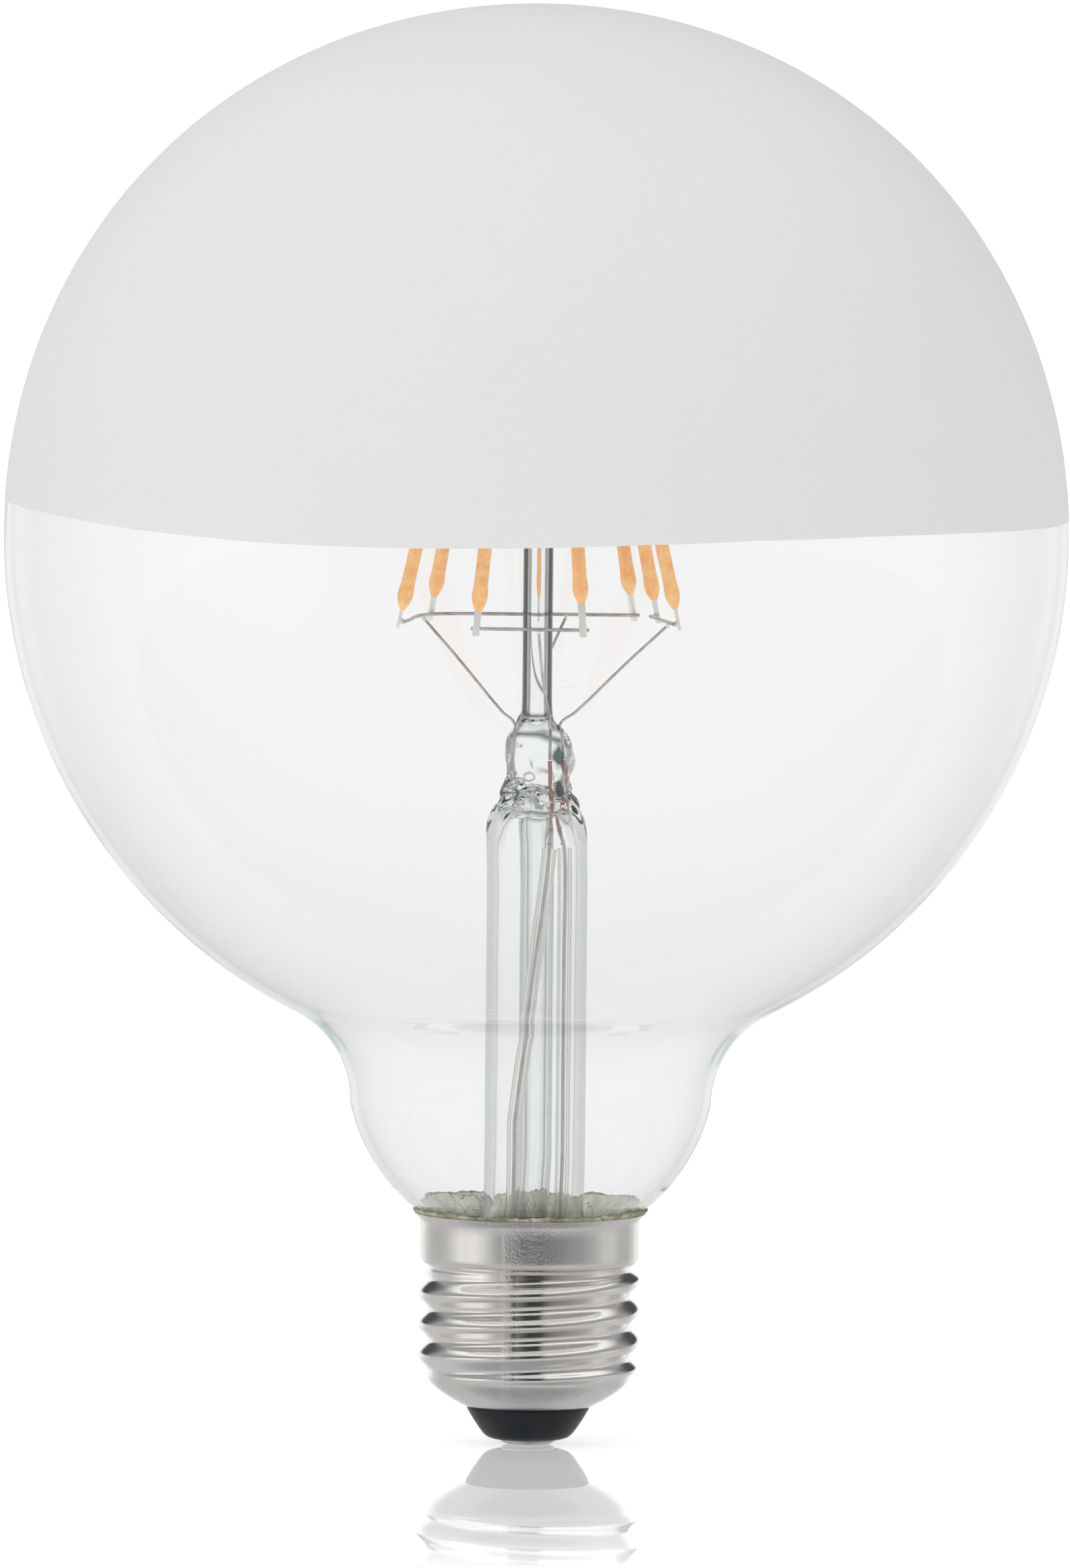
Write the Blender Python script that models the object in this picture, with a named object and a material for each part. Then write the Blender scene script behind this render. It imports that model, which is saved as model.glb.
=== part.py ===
"""A large half-frosted globe lamp: a screw cap, a glass stem and a cage of LED filaments.

The origin is the middle of the centre contact's flat face. +Z runs up the lamp's axis, and -Y is
the front, where the bridge of filaments three and four is. All lengths are in metres.
"""

import math
from collections import namedtuple

import bmesh
import bpy
from mathutils import Vector

# Globe and neck

GLOBE_RADIUS = 0.0625
GLASS_WALL = 0.0009
WAIST_RADIUS = 0.0212
WAIST_HEIGHT = 0.0127
SWEEP_RADIUS = 0.0120
SHOULDER_UPPER_HANDLE = (0.11, 0.36)
SHOULDER_LOWER_HANDLE = (0.53, 0.23)
NECK_ENTRY_HEIGHT = 0.0022

# Screw cap

SHELL_WALL = 0.0003
THREAD_PITCH = 0.003629
THREAD_ROOT_RADIUS = 0.0119
THREAD_DEPTH = 0.00115
THREAD_LENGTH = 0.0131
THREAD_RUN_OUT = 0.0014
THREAD_CREST_ANGLE = math.radians(-72)
COLLAR_RADIUS = 0.01284
COLLAR_HEIGHT = 0.0041
COLLAR_STEP = 0.0012
LIP_RADIUS = 0.0136
LIP_HEIGHT = 0.0012
SHELL_CONE_HEIGHT = 0.0038
SHELL_EDGE_RADIUS = 0.0073
CEMENT_THICKNESS = 0.00054

# Cap insulator and centre contact

INSULATOR_TAPER_HEIGHT = 0.0031
INSULATOR_TOE_RADIUS = 0.00495
INSULATOR_DISH = 0.0004
INSULATOR_SEAT_HEIGHT = 0.0026
INSULATOR_WELL_RADIUS = 0.0050
INSULATOR_WELL_DEPTH = 0.0020
LEAD_HOLE_RADIUS = 0.0006
CONTACT_RADIUS = 0.0032
CONTACT_FLAT_RADIUS = 0.0024
CONTACT_THICKNESS = 0.0006
CONTACT_STANDOUT = 0.0005

# Glass stem

STEM_RADIUS = 0.0059
STEM_WALL = 0.0012
STEM_CLEAR_HEIGHT = 0.0448
STEM_TAPER_HEIGHT = 0.0054
FLARE_HEIGHT = 0.0076
FLARE_SEAT_HEIGHT = 0.0006
PINCH_HEIGHT = 0.0069
PINCH_WIDTH = 0.0081
PINCH_DEPTH = 0.0066
PINCH_WAIST_WIDTH = 0.0075
EXHAUST_RADIUS = 0.0020
EXHAUST_WALL = 0.0008
ROD_RADIUS = 0.00175
ROD_FOOT_RADIUS = 0.0021
ROD_BUTTON_RADIUS = 0.0027
ROD_OVERREACH = 0.0034

# Filament cage

CAGE_RISE = 0.0116
CAGE_OFFSET_X = 0.0004
CAGE_FOOT_RADIUS = 0.0168
CAGE_HEAD_RADIUS = 0.0084
REAR_FOOT_RADIUS = 0.0120
FILAMENT_ANGLES = (-80, -130, -26, 18, 138, 123, 80, 182)
REAR_FILAMENT = 8
FILAMENT_LENGTH = 0.0380
FILAMENT_RADIUS = 0.00085
FILAMENT_BULGE = 1.06
TAB_LENGTH = 0.0025
TAB_WIDTH = 0.0009
TAB_THICKNESS = 0.0003
TAB_PROJECTION = 0.0008
BRIDGE_OVERRUN = 0.0007
WIRE_RADIUS = 0.000275

# Wires through the pinch and down the stem

PINCH_FRONT_WIRE = (0.0015, -0.00205)
PINCH_RIGHT_WIRE = (0.00275, 0.0)
PINCH_LEFT_WIRE = (-0.0026, -0.0007)
PINCH_REAR_WIRE = (-0.0023, 0.0012)
SEAL_WIRE_LENGTH = 0.0080
ANCHOR_DEPTH = 0.0060
LEAD_RADIUS = 0.0002
SLEEVE_WALL = 0.0003
SLEEVE_DROP = 0.0022
SLEEVE_START_ANGLE = math.radians(-65)
SLEEVE_END_ANGLE = math.radians(-133)
SECOND_SLEEVE_ANGLE = math.radians(-20)
SLEEVE_TAIL = 0.0010

# Driver in the cap

BOARD_WIDTH = 0.0170
BOARD_HEIGHT = 0.0117
BOARD_THICKNESS = 0.0010
LEAD_LAP = 0.0014
CAPACITOR_RADIUS = 0.0040
CAPACITOR_LENGTH = 0.0090
CHOKE_RADIUS = 0.0030
CHOKE_LENGTH = 0.0068
RECTIFIER_SIZE = (0.0044, 0.0024, 0.0042)
CHIP_SIZE = (0.0046, 0.0016, 0.0040)
FUSE_RADIUS = 0.0012
FUSE_LENGTH = 0.0064

# Clearances between pieces that the real lamp fuses, welds or cements

SEAT_GAP = 0.0003
WELD_GAP = 0.00012

# Mesh density

GLOBE_SEGMENTS = 36
UPPER_ROWS = 9
LOWER_ROWS = 6
SWEEP_ROWS = 4
CAP_SEGMENTS = 28
STEM_SEGMENTS = 24
SMALL_SEGMENTS = 16
CHANNEL_SIDES = 12
SLEEVE_SIDES = 10
ROWS_PER_PITCH = 6

# Heights that follow from the sizes above

insulator_face_z = CONTACT_STANDOUT
insulator_toe_z = insulator_face_z + INSULATOR_DISH
shell_edge_z = insulator_toe_z + INSULATOR_TAPER_HEIGHT
thread_bottom_z = shell_edge_z + SHELL_CONE_HEIGHT
thread_top_z = thread_bottom_z + THREAD_LENGTH
collar_bottom_z = thread_top_z + COLLAR_STEP
collar_top_z = collar_bottom_z + COLLAR_HEIGHT
rim_z = collar_top_z + LIP_HEIGHT
waist_z = rim_z + WAIST_HEIGHT
insulator_seat_z = shell_edge_z + INSULATOR_SEAT_HEIGHT
board_bottom_z = insulator_seat_z + SEAT_GAP
board_top_z = board_bottom_z + BOARD_HEIGHT
neck_end_z = collar_bottom_z + SEAT_GAP
flare_edge_z = neck_end_z + FLARE_SEAT_HEIGHT
flare_top_z = flare_edge_z + FLARE_HEIGHT
stem_shoulder_z = rim_z + STEM_CLEAR_HEIGHT
pinch_waist_z = stem_shoulder_z + STEM_TAPER_HEIGHT
pinch_top_z = pinch_waist_z + PINCH_HEIGHT
cage_foot_z = pinch_top_z + CAGE_RISE

# Radii that follow from what surrounds them

collar_bore = COLLAR_RADIUS - SHELL_WALL
neck_radius = collar_bore - CEMENT_THICKNESS - 2 * SEAT_GAP
neck_bore = neck_radius - GLASS_WALL
mouth_radius = LIP_RADIUS - SHELL_WALL - SEAT_GAP
stem_bore = STEM_RADIUS - STEM_WALL
sleeve_bore = LEAD_RADIUS + SEAT_GAP
sleeve_radius = sleeve_bore + SLEEVE_WALL
sleeve_ring_radius = (EXHAUST_RADIUS + stem_bore) / 2
channel_radius = WIRE_RADIUS + SEAT_GAP
cage_axis = Vector((CAGE_OFFSET_X, 0, 0))

Finish = namedtuple("Finish", "color roughness metallic transmission", defaults=(0.0, 0.0))

CLEAR_GLASS = Finish((0.93, 0.96, 0.95), 0.03, 0.0, 1.0)
NICKEL = Finish((0.72, 0.71, 0.69), 0.28, 1.0)
BRIGHT_NICKEL = Finish((0.66, 0.65, 0.63), 0.2, 1.0)
COPPER = Finish((0.62, 0.27, 0.16), 0.35, 1.0)
TINNED_COPPER = Finish((0.58, 0.50, 0.42), 0.35, 1.0)
PHOSPHOR = Finish((0.86, 0.46, 0.16), 0.6)
BLACK_INSULATOR = Finish((0.03, 0.035, 0.045), 0.3)
SOLDERED_CONTACT = Finish((0.75, 0.74, 0.72), 0.35, 1.0)
CEMENT = Finish((0.33, 0.34, 0.24), 0.9)
CLEAR_SLEEVE = Finish((0.9, 0.92, 0.9), 0.2, 0.0, 0.8)
BOARD_GREEN = Finish((0.05, 0.25, 0.12), 0.4)
MOULDED_BLACK = Finish((0.02, 0.02, 0.02), 0.5)
CAPACITOR_SLEEVE = Finish((0.05, 0.06, 0.12), 0.35)
FERRITE = Finish((0.12, 0.11, 0.11), 0.7)
FUSE_BODY = Finish((0.35, 0.45, 0.35), 0.5)


# Profile helpers: a profile is a list of (radius, z), run down the outer side

def bezier(start, first, second, end, steps):
    """Points of a cubic curve, without its start."""
    curve = []
    for step in range(1, steps + 1):
        t = step / steps
        weights = ((1 - t) ** 3, 3 * t * (1 - t) ** 2, 3 * t * t * (1 - t), t ** 3)
        corners = (start, first, second, end)
        curve.append(tuple(sum(w * c[axis] for w, c in zip(weights, corners)) for axis in (0, 1)))
    return curve


def offset_inward(profile, distance):
    """The profile moved by a distance towards the material behind its outer side."""
    moved = []
    for index, (radius, z) in enumerate(profile):
        before = profile[max(index - 1, 0)]
        after = profile[min(index + 1, len(profile) - 1)]
        run = Vector((after[0] - before[0], after[1] - before[1])).normalized()
        moved.append((radius + run.y * distance, z - run.x * distance))
    return moved


def smooth(points, steps):
    """Points of a smooth curve through the given points."""
    knots = [Vector(point) for point in points]
    knots = [2 * knots[0] - knots[1], *knots, 2 * knots[-1] - knots[-2]]
    curve = [knots[1]]
    for a, b, c, d in zip(knots, knots[1:], knots[2:], knots[3:]):
        for step in range(1, steps + 1):
            t = step / steps
            curve.append(
                0.5 * (2 * b + (c - a) * t + (2 * a - 5 * b + 4 * c - d) * t * t
                       + (3 * b - a - 3 * c + d) * t ** 3)
            )
    return curve


# Mesh helpers

def ring(radius_x, radius_y, z, segments):
    """Points of a horizontal ellipse, or one point for a pole."""
    if radius_x == 0:
        return [Vector((0, 0, z))]
    turns = [2 * math.pi * column / segments for column in range(segments)]
    return [Vector((radius_x * math.cos(turn), radius_y * math.sin(turn), z)) for turn in turns]


def skin(rings, loop=False, caps=False):
    """A mesh through rings, from top to bottom on the outer side."""
    mesh = bmesh.new()
    verts = [[mesh.verts.new(point) for point in points] for points in rings]
    pairs = list(zip(verts, verts[1:]))
    if loop:
        pairs.append((verts[-1], verts[0]))
    for upper, lower in pairs:
        count = max(len(upper), len(lower))
        for column in range(count):
            following = (column + 1) % count
            corners = (
                upper[column % len(upper)],
                lower[column % len(lower)],
                lower[following % len(lower)],
                upper[following % len(upper)],
            )
            mesh.faces.new(list(dict.fromkeys(corners)))
    if caps:
        mesh.faces.new(verts[0])
        mesh.faces.new(verts[-1])
        bmesh.ops.recalc_face_normals(mesh, faces=mesh.faces)
    return mesh


def lathe(profile, segments, loop=False):
    """A turned mesh of a profile."""
    return skin([ring(radius, radius, z, segments) for radius, z in profile], loop)


def tube_rings(points, radius, sides):
    """Rings square to a path, turned as little as they can be along it."""
    rings = []
    side = None
    for index, point in enumerate(points):
        ahead = points[min(index + 1, len(points) - 1)] - points[max(index - 1, 0)]
        ahead.normalize()
        if side is None:
            side = ahead.orthogonal()
        side = (side - ahead * side.dot(ahead)).normalized()
        across = ahead.cross(side)
        turns = [2 * math.pi * column / sides for column in range(sides)]
        rings.append([
            point + (side * math.cos(turn) + across * math.sin(turn)) * radius for turn in turns
        ])
    return rings


def make_material(name, finish):
    """A Principled material of a finish."""
    material = bpy.data.materials.new(name)
    material.use_nodes = True
    shader = material.node_tree.nodes["Principled BSDF"]
    shader.inputs["Base Color"].default_value = (*finish.color, 1.0)
    shader.inputs["Roughness"].default_value = finish.roughness
    shader.inputs["Metallic"].default_value = finish.metallic
    shader.inputs["Transmission Weight"].default_value = finish.transmission
    material.diffuse_color = (*finish.color, 1.0)
    return material


def add(name, data, finish):
    """An object with a material of its own."""
    thing = bpy.data.objects.new(name, data)
    bpy.context.scene.collection.objects.link(thing)
    data.materials.append(make_material(name, finish))
    return thing


def add_mesh(name, mesh, finish, sharp=35):
    """An object of a bmesh, shaded smooth but for its sharp edges."""
    data = bpy.data.meshes.new(name)
    mesh.to_mesh(data)
    mesh.free()
    data.shade_smooth()
    data.set_sharp_from_angle(angle=math.radians(sharp))
    return add(name, data, finish)


def add_wire(name, points, radius, finish):
    """A round wire along points."""
    data = bpy.data.curves.new(name, "CURVE")
    data.dimensions = "3D"
    data.bevel_depth = radius
    data.bevel_resolution = 1
    data.use_fill_caps = True
    spline = data.splines.new("POLY")
    spline.points.add(len(points) - 1)
    for knot, point in zip(spline.points, points):
        knot.co = (*point, 1.0)
    return add(name, data, finish)


def add_wall(thing, thickness):
    """Gives an open outer surface its wall, on its inner side."""
    wall = thing.modifiers.new("wall", "SOLIDIFY")
    wall.thickness = thickness
    wall.offset = -1
    wall.use_even_offset = True


def drill(thing, name, start, end, radius):
    """Drills a round channel from one point to another."""
    start = Vector(start)
    end = Vector(end)
    cutter_mesh = skin(tube_rings([start, end], radius, CHANNEL_SIDES), caps=True)
    data = bpy.data.meshes.new(name)
    cutter_mesh.to_mesh(data)
    cutter_mesh.free()
    cutter = bpy.data.objects.new(name, data)
    bpy.context.scene.collection.objects.link(cutter)
    cutter.hide_render = True
    cutter.display_type = "WIRE"
    hole = thing.modifiers.new(name, "BOOLEAN")
    hole.operation = "DIFFERENCE"
    hole.solver = "EXACT"
    hole.object = cutter


def add_block(name, size, centre, finish):
    """A moulded block with softened edges."""
    mesh = bmesh.new()
    bmesh.ops.create_cube(mesh, size=1)
    bmesh.ops.scale(mesh, vec=size, verts=mesh.verts)
    bmesh.ops.bevel(mesh, geom=mesh.edges, offset=min(size) * 0.08, segments=1, affect="EDGES")
    thing = add_mesh(name, mesh, finish, sharp=30)
    thing.location = centre
    return thing


# Globe

def globe_profile():
    """The sphere, the concave sweep under it and the shoulder down to the cap's mouth."""
    sweep_centre_radius = WAIST_RADIUS + SWEEP_RADIUS
    reach = GLOBE_RADIUS + SWEEP_RADIUS
    centre_z = waist_z + math.sqrt(reach ** 2 - sweep_centre_radius ** 2)
    join_angle = math.atan2(sweep_centre_radius, waist_z - centre_z)
    profile = [(0, centre_z + GLOBE_RADIUS)]
    quarter = math.pi / 2
    below = join_angle - quarter
    upper_angles = [quarter * row / UPPER_ROWS for row in range(1, UPPER_ROWS + 1)]
    lower_angles = [quarter + below * row / LOWER_ROWS for row in range(1, LOWER_ROWS + 1)]
    for angle in upper_angles + lower_angles:
        profile.append((GLOBE_RADIUS * math.sin(angle), centre_z + GLOBE_RADIUS * math.cos(angle)))
    for row in range(1, SWEEP_ROWS + 1):
        angle = below * (1 - row / SWEEP_ROWS)
        profile.append((
            sweep_centre_radius - SWEEP_RADIUS * math.cos(angle),
            waist_z + SWEEP_RADIUS * math.sin(angle),
        ))
    return profile


def shoulder_profile():
    """From the neck's waist down into the cap and along the straight neck to its end."""
    width = WAIST_RADIUS - mouth_radius
    waist = (WAIST_RADIUS, waist_z)
    upper = (WAIST_RADIUS - SHOULDER_UPPER_HANDLE[0] * width,
             waist_z - SHOULDER_UPPER_HANDLE[1] * WAIST_HEIGHT)
    lower = (mouth_radius + SHOULDER_LOWER_HANDLE[0] * width,
             rim_z + SHOULDER_LOWER_HANDLE[1] * WAIST_HEIGHT)
    mouth = (mouth_radius, rim_z)
    neck_start = (neck_radius, rim_z - NECK_ENTRY_HEIGHT)
    step_in = mouth_radius - neck_radius
    entry_upper = (mouth_radius - 0.6 * step_in, rim_z - 0.25 * NECK_ENTRY_HEIGHT)
    entry_lower = (neck_radius, rim_z - 0.5 * NECK_ENTRY_HEIGHT)
    return [
        *bezier(waist, upper, lower, mouth, 5),
        *bezier(mouth, entry_upper, entry_lower, neck_start, 3),
        (neck_radius, neck_end_z),
    ]


def make_globe():
    mesh = lathe(globe_profile() + shoulder_profile(), GLOBE_SEGMENTS)
    globe = add_mesh("globe_glass", mesh, CLEAR_GLASS)
    add_wall(globe, GLASS_WALL)


# Screw cap

def shell_cone():
    """The shell's lower end, which closes in on the insulator, below the thread."""
    start = (THREAD_ROOT_RADIUS, thread_bottom_z)
    closing = THREAD_ROOT_RADIUS - SHELL_EDGE_RADIUS
    first = (THREAD_ROOT_RADIUS - 0.1 * closing, thread_bottom_z - 0.3 * SHELL_CONE_HEIGHT)
    second = (SHELL_EDGE_RADIUS + 0.5 * closing, shell_edge_z + 0.33 * SHELL_CONE_HEIGHT)
    return bezier(start, first, second, (SHELL_EDGE_RADIUS, shell_edge_z), 4)


def shell_collar():
    """The flared lip and the plain collar above the thread."""
    flare = LIP_RADIUS - COLLAR_RADIUS
    step = COLLAR_RADIUS - THREAD_ROOT_RADIUS
    return [
        (LIP_RADIUS, rim_z),
        (COLLAR_RADIUS + 0.6 * flare, rim_z - 0.3 * LIP_HEIGHT),
        (COLLAR_RADIUS + 0.15 * flare, rim_z - 0.7 * LIP_HEIGHT),
        (COLLAR_RADIUS, collar_top_z),
        (COLLAR_RADIUS, collar_bottom_z),
        (COLLAR_RADIUS - 0.15 * step, collar_bottom_z - 0.35 * COLLAR_STEP),
        (COLLAR_RADIUS - 0.6 * step, collar_bottom_z - 0.65 * COLLAR_STEP),
        (THREAD_ROOT_RADIUS, thread_top_z),
    ]


def thread_radius(angle, z):
    """The rolled thread's radius, which runs out into the root at both ends."""
    ends = min(thread_top_z - z, z - thread_bottom_z) / THREAD_RUN_OUT
    ends = min(max(ends, 0.0), 1.0)
    fade = ends * ends * (3 - 2 * ends)
    turns = (z - thread_bottom_z) / THREAD_PITCH - (angle - THREAD_CREST_ANGLE) / (2 * math.pi)
    wave = 0.5 + 0.5 * math.cos(2 * math.pi * turns)
    return THREAD_ROOT_RADIUS + THREAD_DEPTH * fade * wave


def make_screw_shell():
    """The shell's outer surface, with mesh rows that climb with the right-hand thread."""
    mesh = bmesh.new()
    verts = {}

    def vert(column, z, radius=None):
        key = (column % CAP_SEGMENTS, round(z, 8))
        if key not in verts:
            angle = 2 * math.pi * key[0] / CAP_SEGMENTS
            radius = thread_radius(angle, z) if radius is None else radius
            verts[key] = mesh.verts.new((radius * math.cos(angle), radius * math.sin(angle), z))
        return verts[key]

    def strip(upper, lower):
        for column in range(CAP_SEGMENTS):
            corners = (upper(column), lower(column), lower(column + 1), upper(column + 1))
            corners = list(dict.fromkeys(corners))
            if len(corners) > 2:
                mesh.faces.new(corners)

    snap = 0.4 * THREAD_PITCH / ROWS_PER_PITCH
    crest_turn = THREAD_CREST_ANGLE / (2 * math.pi)

    def climbing_row(row):
        def place(column):
            turns = column / CAP_SEGMENTS - crest_turn + row / ROWS_PER_PITCH
            z = thread_bottom_z + turns * THREAD_PITCH
            if z > thread_top_z - snap:
                z = thread_top_z
            if z < thread_bottom_z + snap:
                z = thread_bottom_z
            return vert(column, z)
        return place

    def level_row(radius, z):
        return lambda column: vert(column, z, radius)

    collar = shell_collar()
    for upper, lower in zip(collar, collar[1:]):
        strip(level_row(*upper), level_row(*lower))
    lowest_row = math.floor(ROWS_PER_PITCH * (crest_turn - 1))
    highest_row = math.ceil(ROWS_PER_PITCH * (crest_turn + THREAD_LENGTH / THREAD_PITCH))
    for row in range(highest_row, lowest_row, -1):
        strip(climbing_row(row), climbing_row(row - 1))
    cone = [(THREAD_ROOT_RADIUS, thread_bottom_z), *shell_cone()]
    for upper, lower in zip(cone, cone[1:]):
        strip(level_row(*upper), level_row(*lower))
    shell = add_mesh("screw_shell", mesh, NICKEL)
    add_wall(shell, SHELL_WALL)


def make_cement():
    """The cement between the neck and the collar, filled up to the flared lip."""
    outer = collar_bore - SEAT_GAP
    inner = neck_radius + SEAT_GAP
    top_z = rim_z - NECK_ENTRY_HEIGHT + SEAT_GAP
    profile = [
        (inner + 0.3 * CEMENT_THICKNESS, top_z + SEAT_GAP),
        (outer, top_z),
        (outer, neck_end_z),
        (inner, neck_end_z),
        (inner, top_z),
    ]
    add_mesh("basing_cement", lathe(profile, CAP_SEGMENTS, loop=True), CEMENT)


def make_insulator():
    """The insulator: it backs the shell's cone, shows below its edge and has a lead hole."""
    backing = offset_inward(
        [(THREAD_ROOT_RADIUS, thread_bottom_z), *shell_cone()], SHELL_WALL + SEAT_GAP
    )
    backing = [point for point in backing if point[1] < insulator_seat_z - SEAT_GAP]
    recess_radius = CONTACT_RADIUS + SEAT_GAP
    recess_z = CONTACT_THICKNESS + SEAT_GAP
    well_z = insulator_seat_z - INSULATOR_WELL_DEPTH
    profile = [
        (INSULATOR_WELL_RADIUS, insulator_seat_z),
        (backing[0][0], insulator_seat_z),
        *backing,
        (SHELL_EDGE_RADIUS - SEAT_GAP, shell_edge_z - SEAT_GAP),
        (INSULATOR_TOE_RADIUS, insulator_toe_z),
        (recess_radius, insulator_face_z),
        (recess_radius, recess_z),
        (LEAD_HOLE_RADIUS, recess_z),
        (LEAD_HOLE_RADIUS, well_z),
        (INSULATOR_WELL_RADIUS, well_z),
    ]
    add_mesh("cap_insulator", lathe(profile, CAP_SEGMENTS, loop=True), BLACK_INSULATOR)


def make_contact():
    """The centre contact, a thin disc with a rounded edge and a flat face to stand on."""
    rounding = CONTACT_RADIUS - CONTACT_FLAT_RADIUS
    profile = [
        (0, CONTACT_THICKNESS),
        (CONTACT_RADIUS, CONTACT_THICKNESS),
        (CONTACT_RADIUS, 0.55 * CONTACT_THICKNESS),
        (CONTACT_FLAT_RADIUS + 0.75 * rounding, 0.2 * CONTACT_THICKNESS),
        (CONTACT_FLAT_RADIUS, 0),
        (0, 0),
    ]
    add_mesh("tip_contact", lathe(profile, STEM_SEGMENTS), SOLDERED_CONTACT, sharp=25)


# Glass stem

def make_stem():
    """The flared stem tube with its flattened pinch, drilled where the wires pass."""
    half_width = PINCH_WIDTH / 2
    half_depth = PINCH_DEPTH / 2
    waist = PINCH_WAIST_WIDTH / 2
    outside = [ring(0, 0, pinch_top_z, STEM_SEGMENTS)]
    for across, deep, drop in (
        (0.48, 0.55, 0.01), (0.78, 0.82, 0.09), (0.95, 0.96, 0.25), (1.0, 1.0, 0.5),
    ):
        z = pinch_top_z - drop * PINCH_HEIGHT
        outside.append(ring(across * half_width, deep * half_depth, z, STEM_SEGMENTS))
    outside.append(ring(waist, 0.97 * half_depth, pinch_waist_z, STEM_SEGMENTS))
    for rise, spread in ((0.62, 0.22), (0.26, 0.7), (0.0, 1.0)):
        z = stem_shoulder_z + rise * STEM_TAPER_HEIGHT
        across = waist + spread * (STEM_RADIUS - waist)
        deep = half_depth + spread * (STEM_RADIUS - half_depth)
        outside.append(ring(across, deep, z, STEM_SEGMENTS))
    flare_radius = neck_bore - SEAT_GAP
    flare = [(STEM_RADIUS, flare_top_z)]
    flare += bezier(
        flare[0],
        (STEM_RADIUS, flare_top_z - 0.45 * FLARE_HEIGHT),
        (STEM_RADIUS + 0.25 * (flare_radius - STEM_RADIUS), flare_edge_z + 0.25 * FLARE_HEIGHT),
        (flare_radius, flare_edge_z),
        5,
    )
    outside += [ring(radius, radius, z, STEM_SEGMENTS) for radius, z in flare]
    inside = [(radius, z) for radius, z in reversed(offset_inward(flare, STEM_WALL))]
    inside += [
        (stem_bore, stem_shoulder_z - 0.15 * STEM_TAPER_HEIGHT),
        (0.84 * stem_bore, stem_shoulder_z + 0.08 * STEM_TAPER_HEIGHT),
        (0.5 * stem_bore, stem_shoulder_z + 0.2 * STEM_TAPER_HEIGHT),
        (0, cavity_top_z()),
    ]
    hollow = [ring(radius, radius, z, STEM_SEGMENTS) for radius, z in inside]
    stem = add_mesh("stem_tube", skin(outside + hollow), CLEAR_GLASS)
    above = pinch_top_z + 2 * channel_radius
    through = stem_shoulder_z - 0.2 * STEM_TAPER_HEIGHT
    blind = pinch_top_z - ANCHOR_DEPTH - SEAT_GAP
    for name, place, floor in (
        ("front_wire_channel", PINCH_FRONT_WIRE, through),
        ("right_wire_channel", PINCH_RIGHT_WIRE, through),
        ("left_wire_channel", PINCH_LEFT_WIRE, blind),
        ("rear_wire_channel", PINCH_REAR_WIRE, blind),
    ):
        drill(stem, name, (*place, floor), (*place, above), channel_radius)


def cavity_top_z():
    """The top of the hollow inside the stem tube."""
    return stem_shoulder_z + 0.26 * STEM_TAPER_HEIGHT


def make_exhaust_tube():
    """The exhaust tube, open under the pinch and sealed off at its lower tip."""
    top_z = stem_shoulder_z + 0.2 * STEM_TAPER_HEIGHT - SEAT_GAP
    tip_z = board_top_z + 2 * LEAD_LAP
    bore = EXHAUST_RADIUS - EXHAUST_WALL
    rounding = EXHAUST_RADIUS
    profile = [
        (EXHAUST_RADIUS, top_z),
        (EXHAUST_RADIUS, tip_z + rounding),
        (0.8 * EXHAUST_RADIUS, tip_z + 0.4 * rounding),
        (0.4 * EXHAUST_RADIUS, tip_z + 0.08 * rounding),
        (0, tip_z),
    ]
    hollow = [
        (0, tip_z + EXHAUST_WALL),
        (0.7 * bore, tip_z + 1.3 * EXHAUST_WALL),
        (bore, tip_z + rounding + EXHAUST_WALL),
        (bore, top_z),
    ]
    add_mesh("exhaust_tube", lathe(hollow + profile, SMALL_SEGMENTS), CLEAR_GLASS)


def rod_top_z():
    return cage_foot_z + FILAMENT_LENGTH + ROD_OVERREACH - TAB_LENGTH


def arm_z():
    """The height at which the top arms leave the rod's button."""
    return rod_top_z() - ROD_BUTTON_RADIUS


def make_rod():
    """The solid glass rod with a thickened foot and a button that holds the top arms."""
    foot_z = pinch_top_z + SEAT_GAP
    top_z = rod_top_z()
    profile = [(0, top_z)]
    for angle in (30, 60, 90, 120):
        turn = math.radians(angle)
        profile.append((ROD_BUTTON_RADIUS * math.sin(turn),
                        arm_z() + ROD_BUTTON_RADIUS * math.cos(turn)))
    profile += [
        (ROD_RADIUS, top_z - 2.1 * ROD_BUTTON_RADIUS),
        (ROD_RADIUS, foot_z + 2 * (ROD_FOOT_RADIUS - ROD_RADIUS)),
        (ROD_FOOT_RADIUS, foot_z),
        (0, foot_z),
    ]
    rod = add_mesh("support_rod", lathe(profile, SMALL_SEGMENTS), CLEAR_GLASS)
    middle = Vector((0, 0, arm_z()))
    for name, bearing in (("left_socket", LEFT_ARM_ANGLE), ("right_socket", RIGHT_ARM_ANGLE)):
        outward = bearing_vector(bearing)
        floor = middle + outward * socket_floor_radius()
        mouth = middle + outward * 2 * ROD_BUTTON_RADIUS
        drill(rod, name, floor, mouth, channel_radius)


# Filament cage

Filament = namedtuple("Filament", "number foot head axis outward")


def bearing_vector(degrees_from_front):
    """A level unit vector, turned from the front towards the right."""
    turn = math.radians(degrees_from_front)
    return Vector((math.sin(turn), -math.cos(turn), 0))


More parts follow.
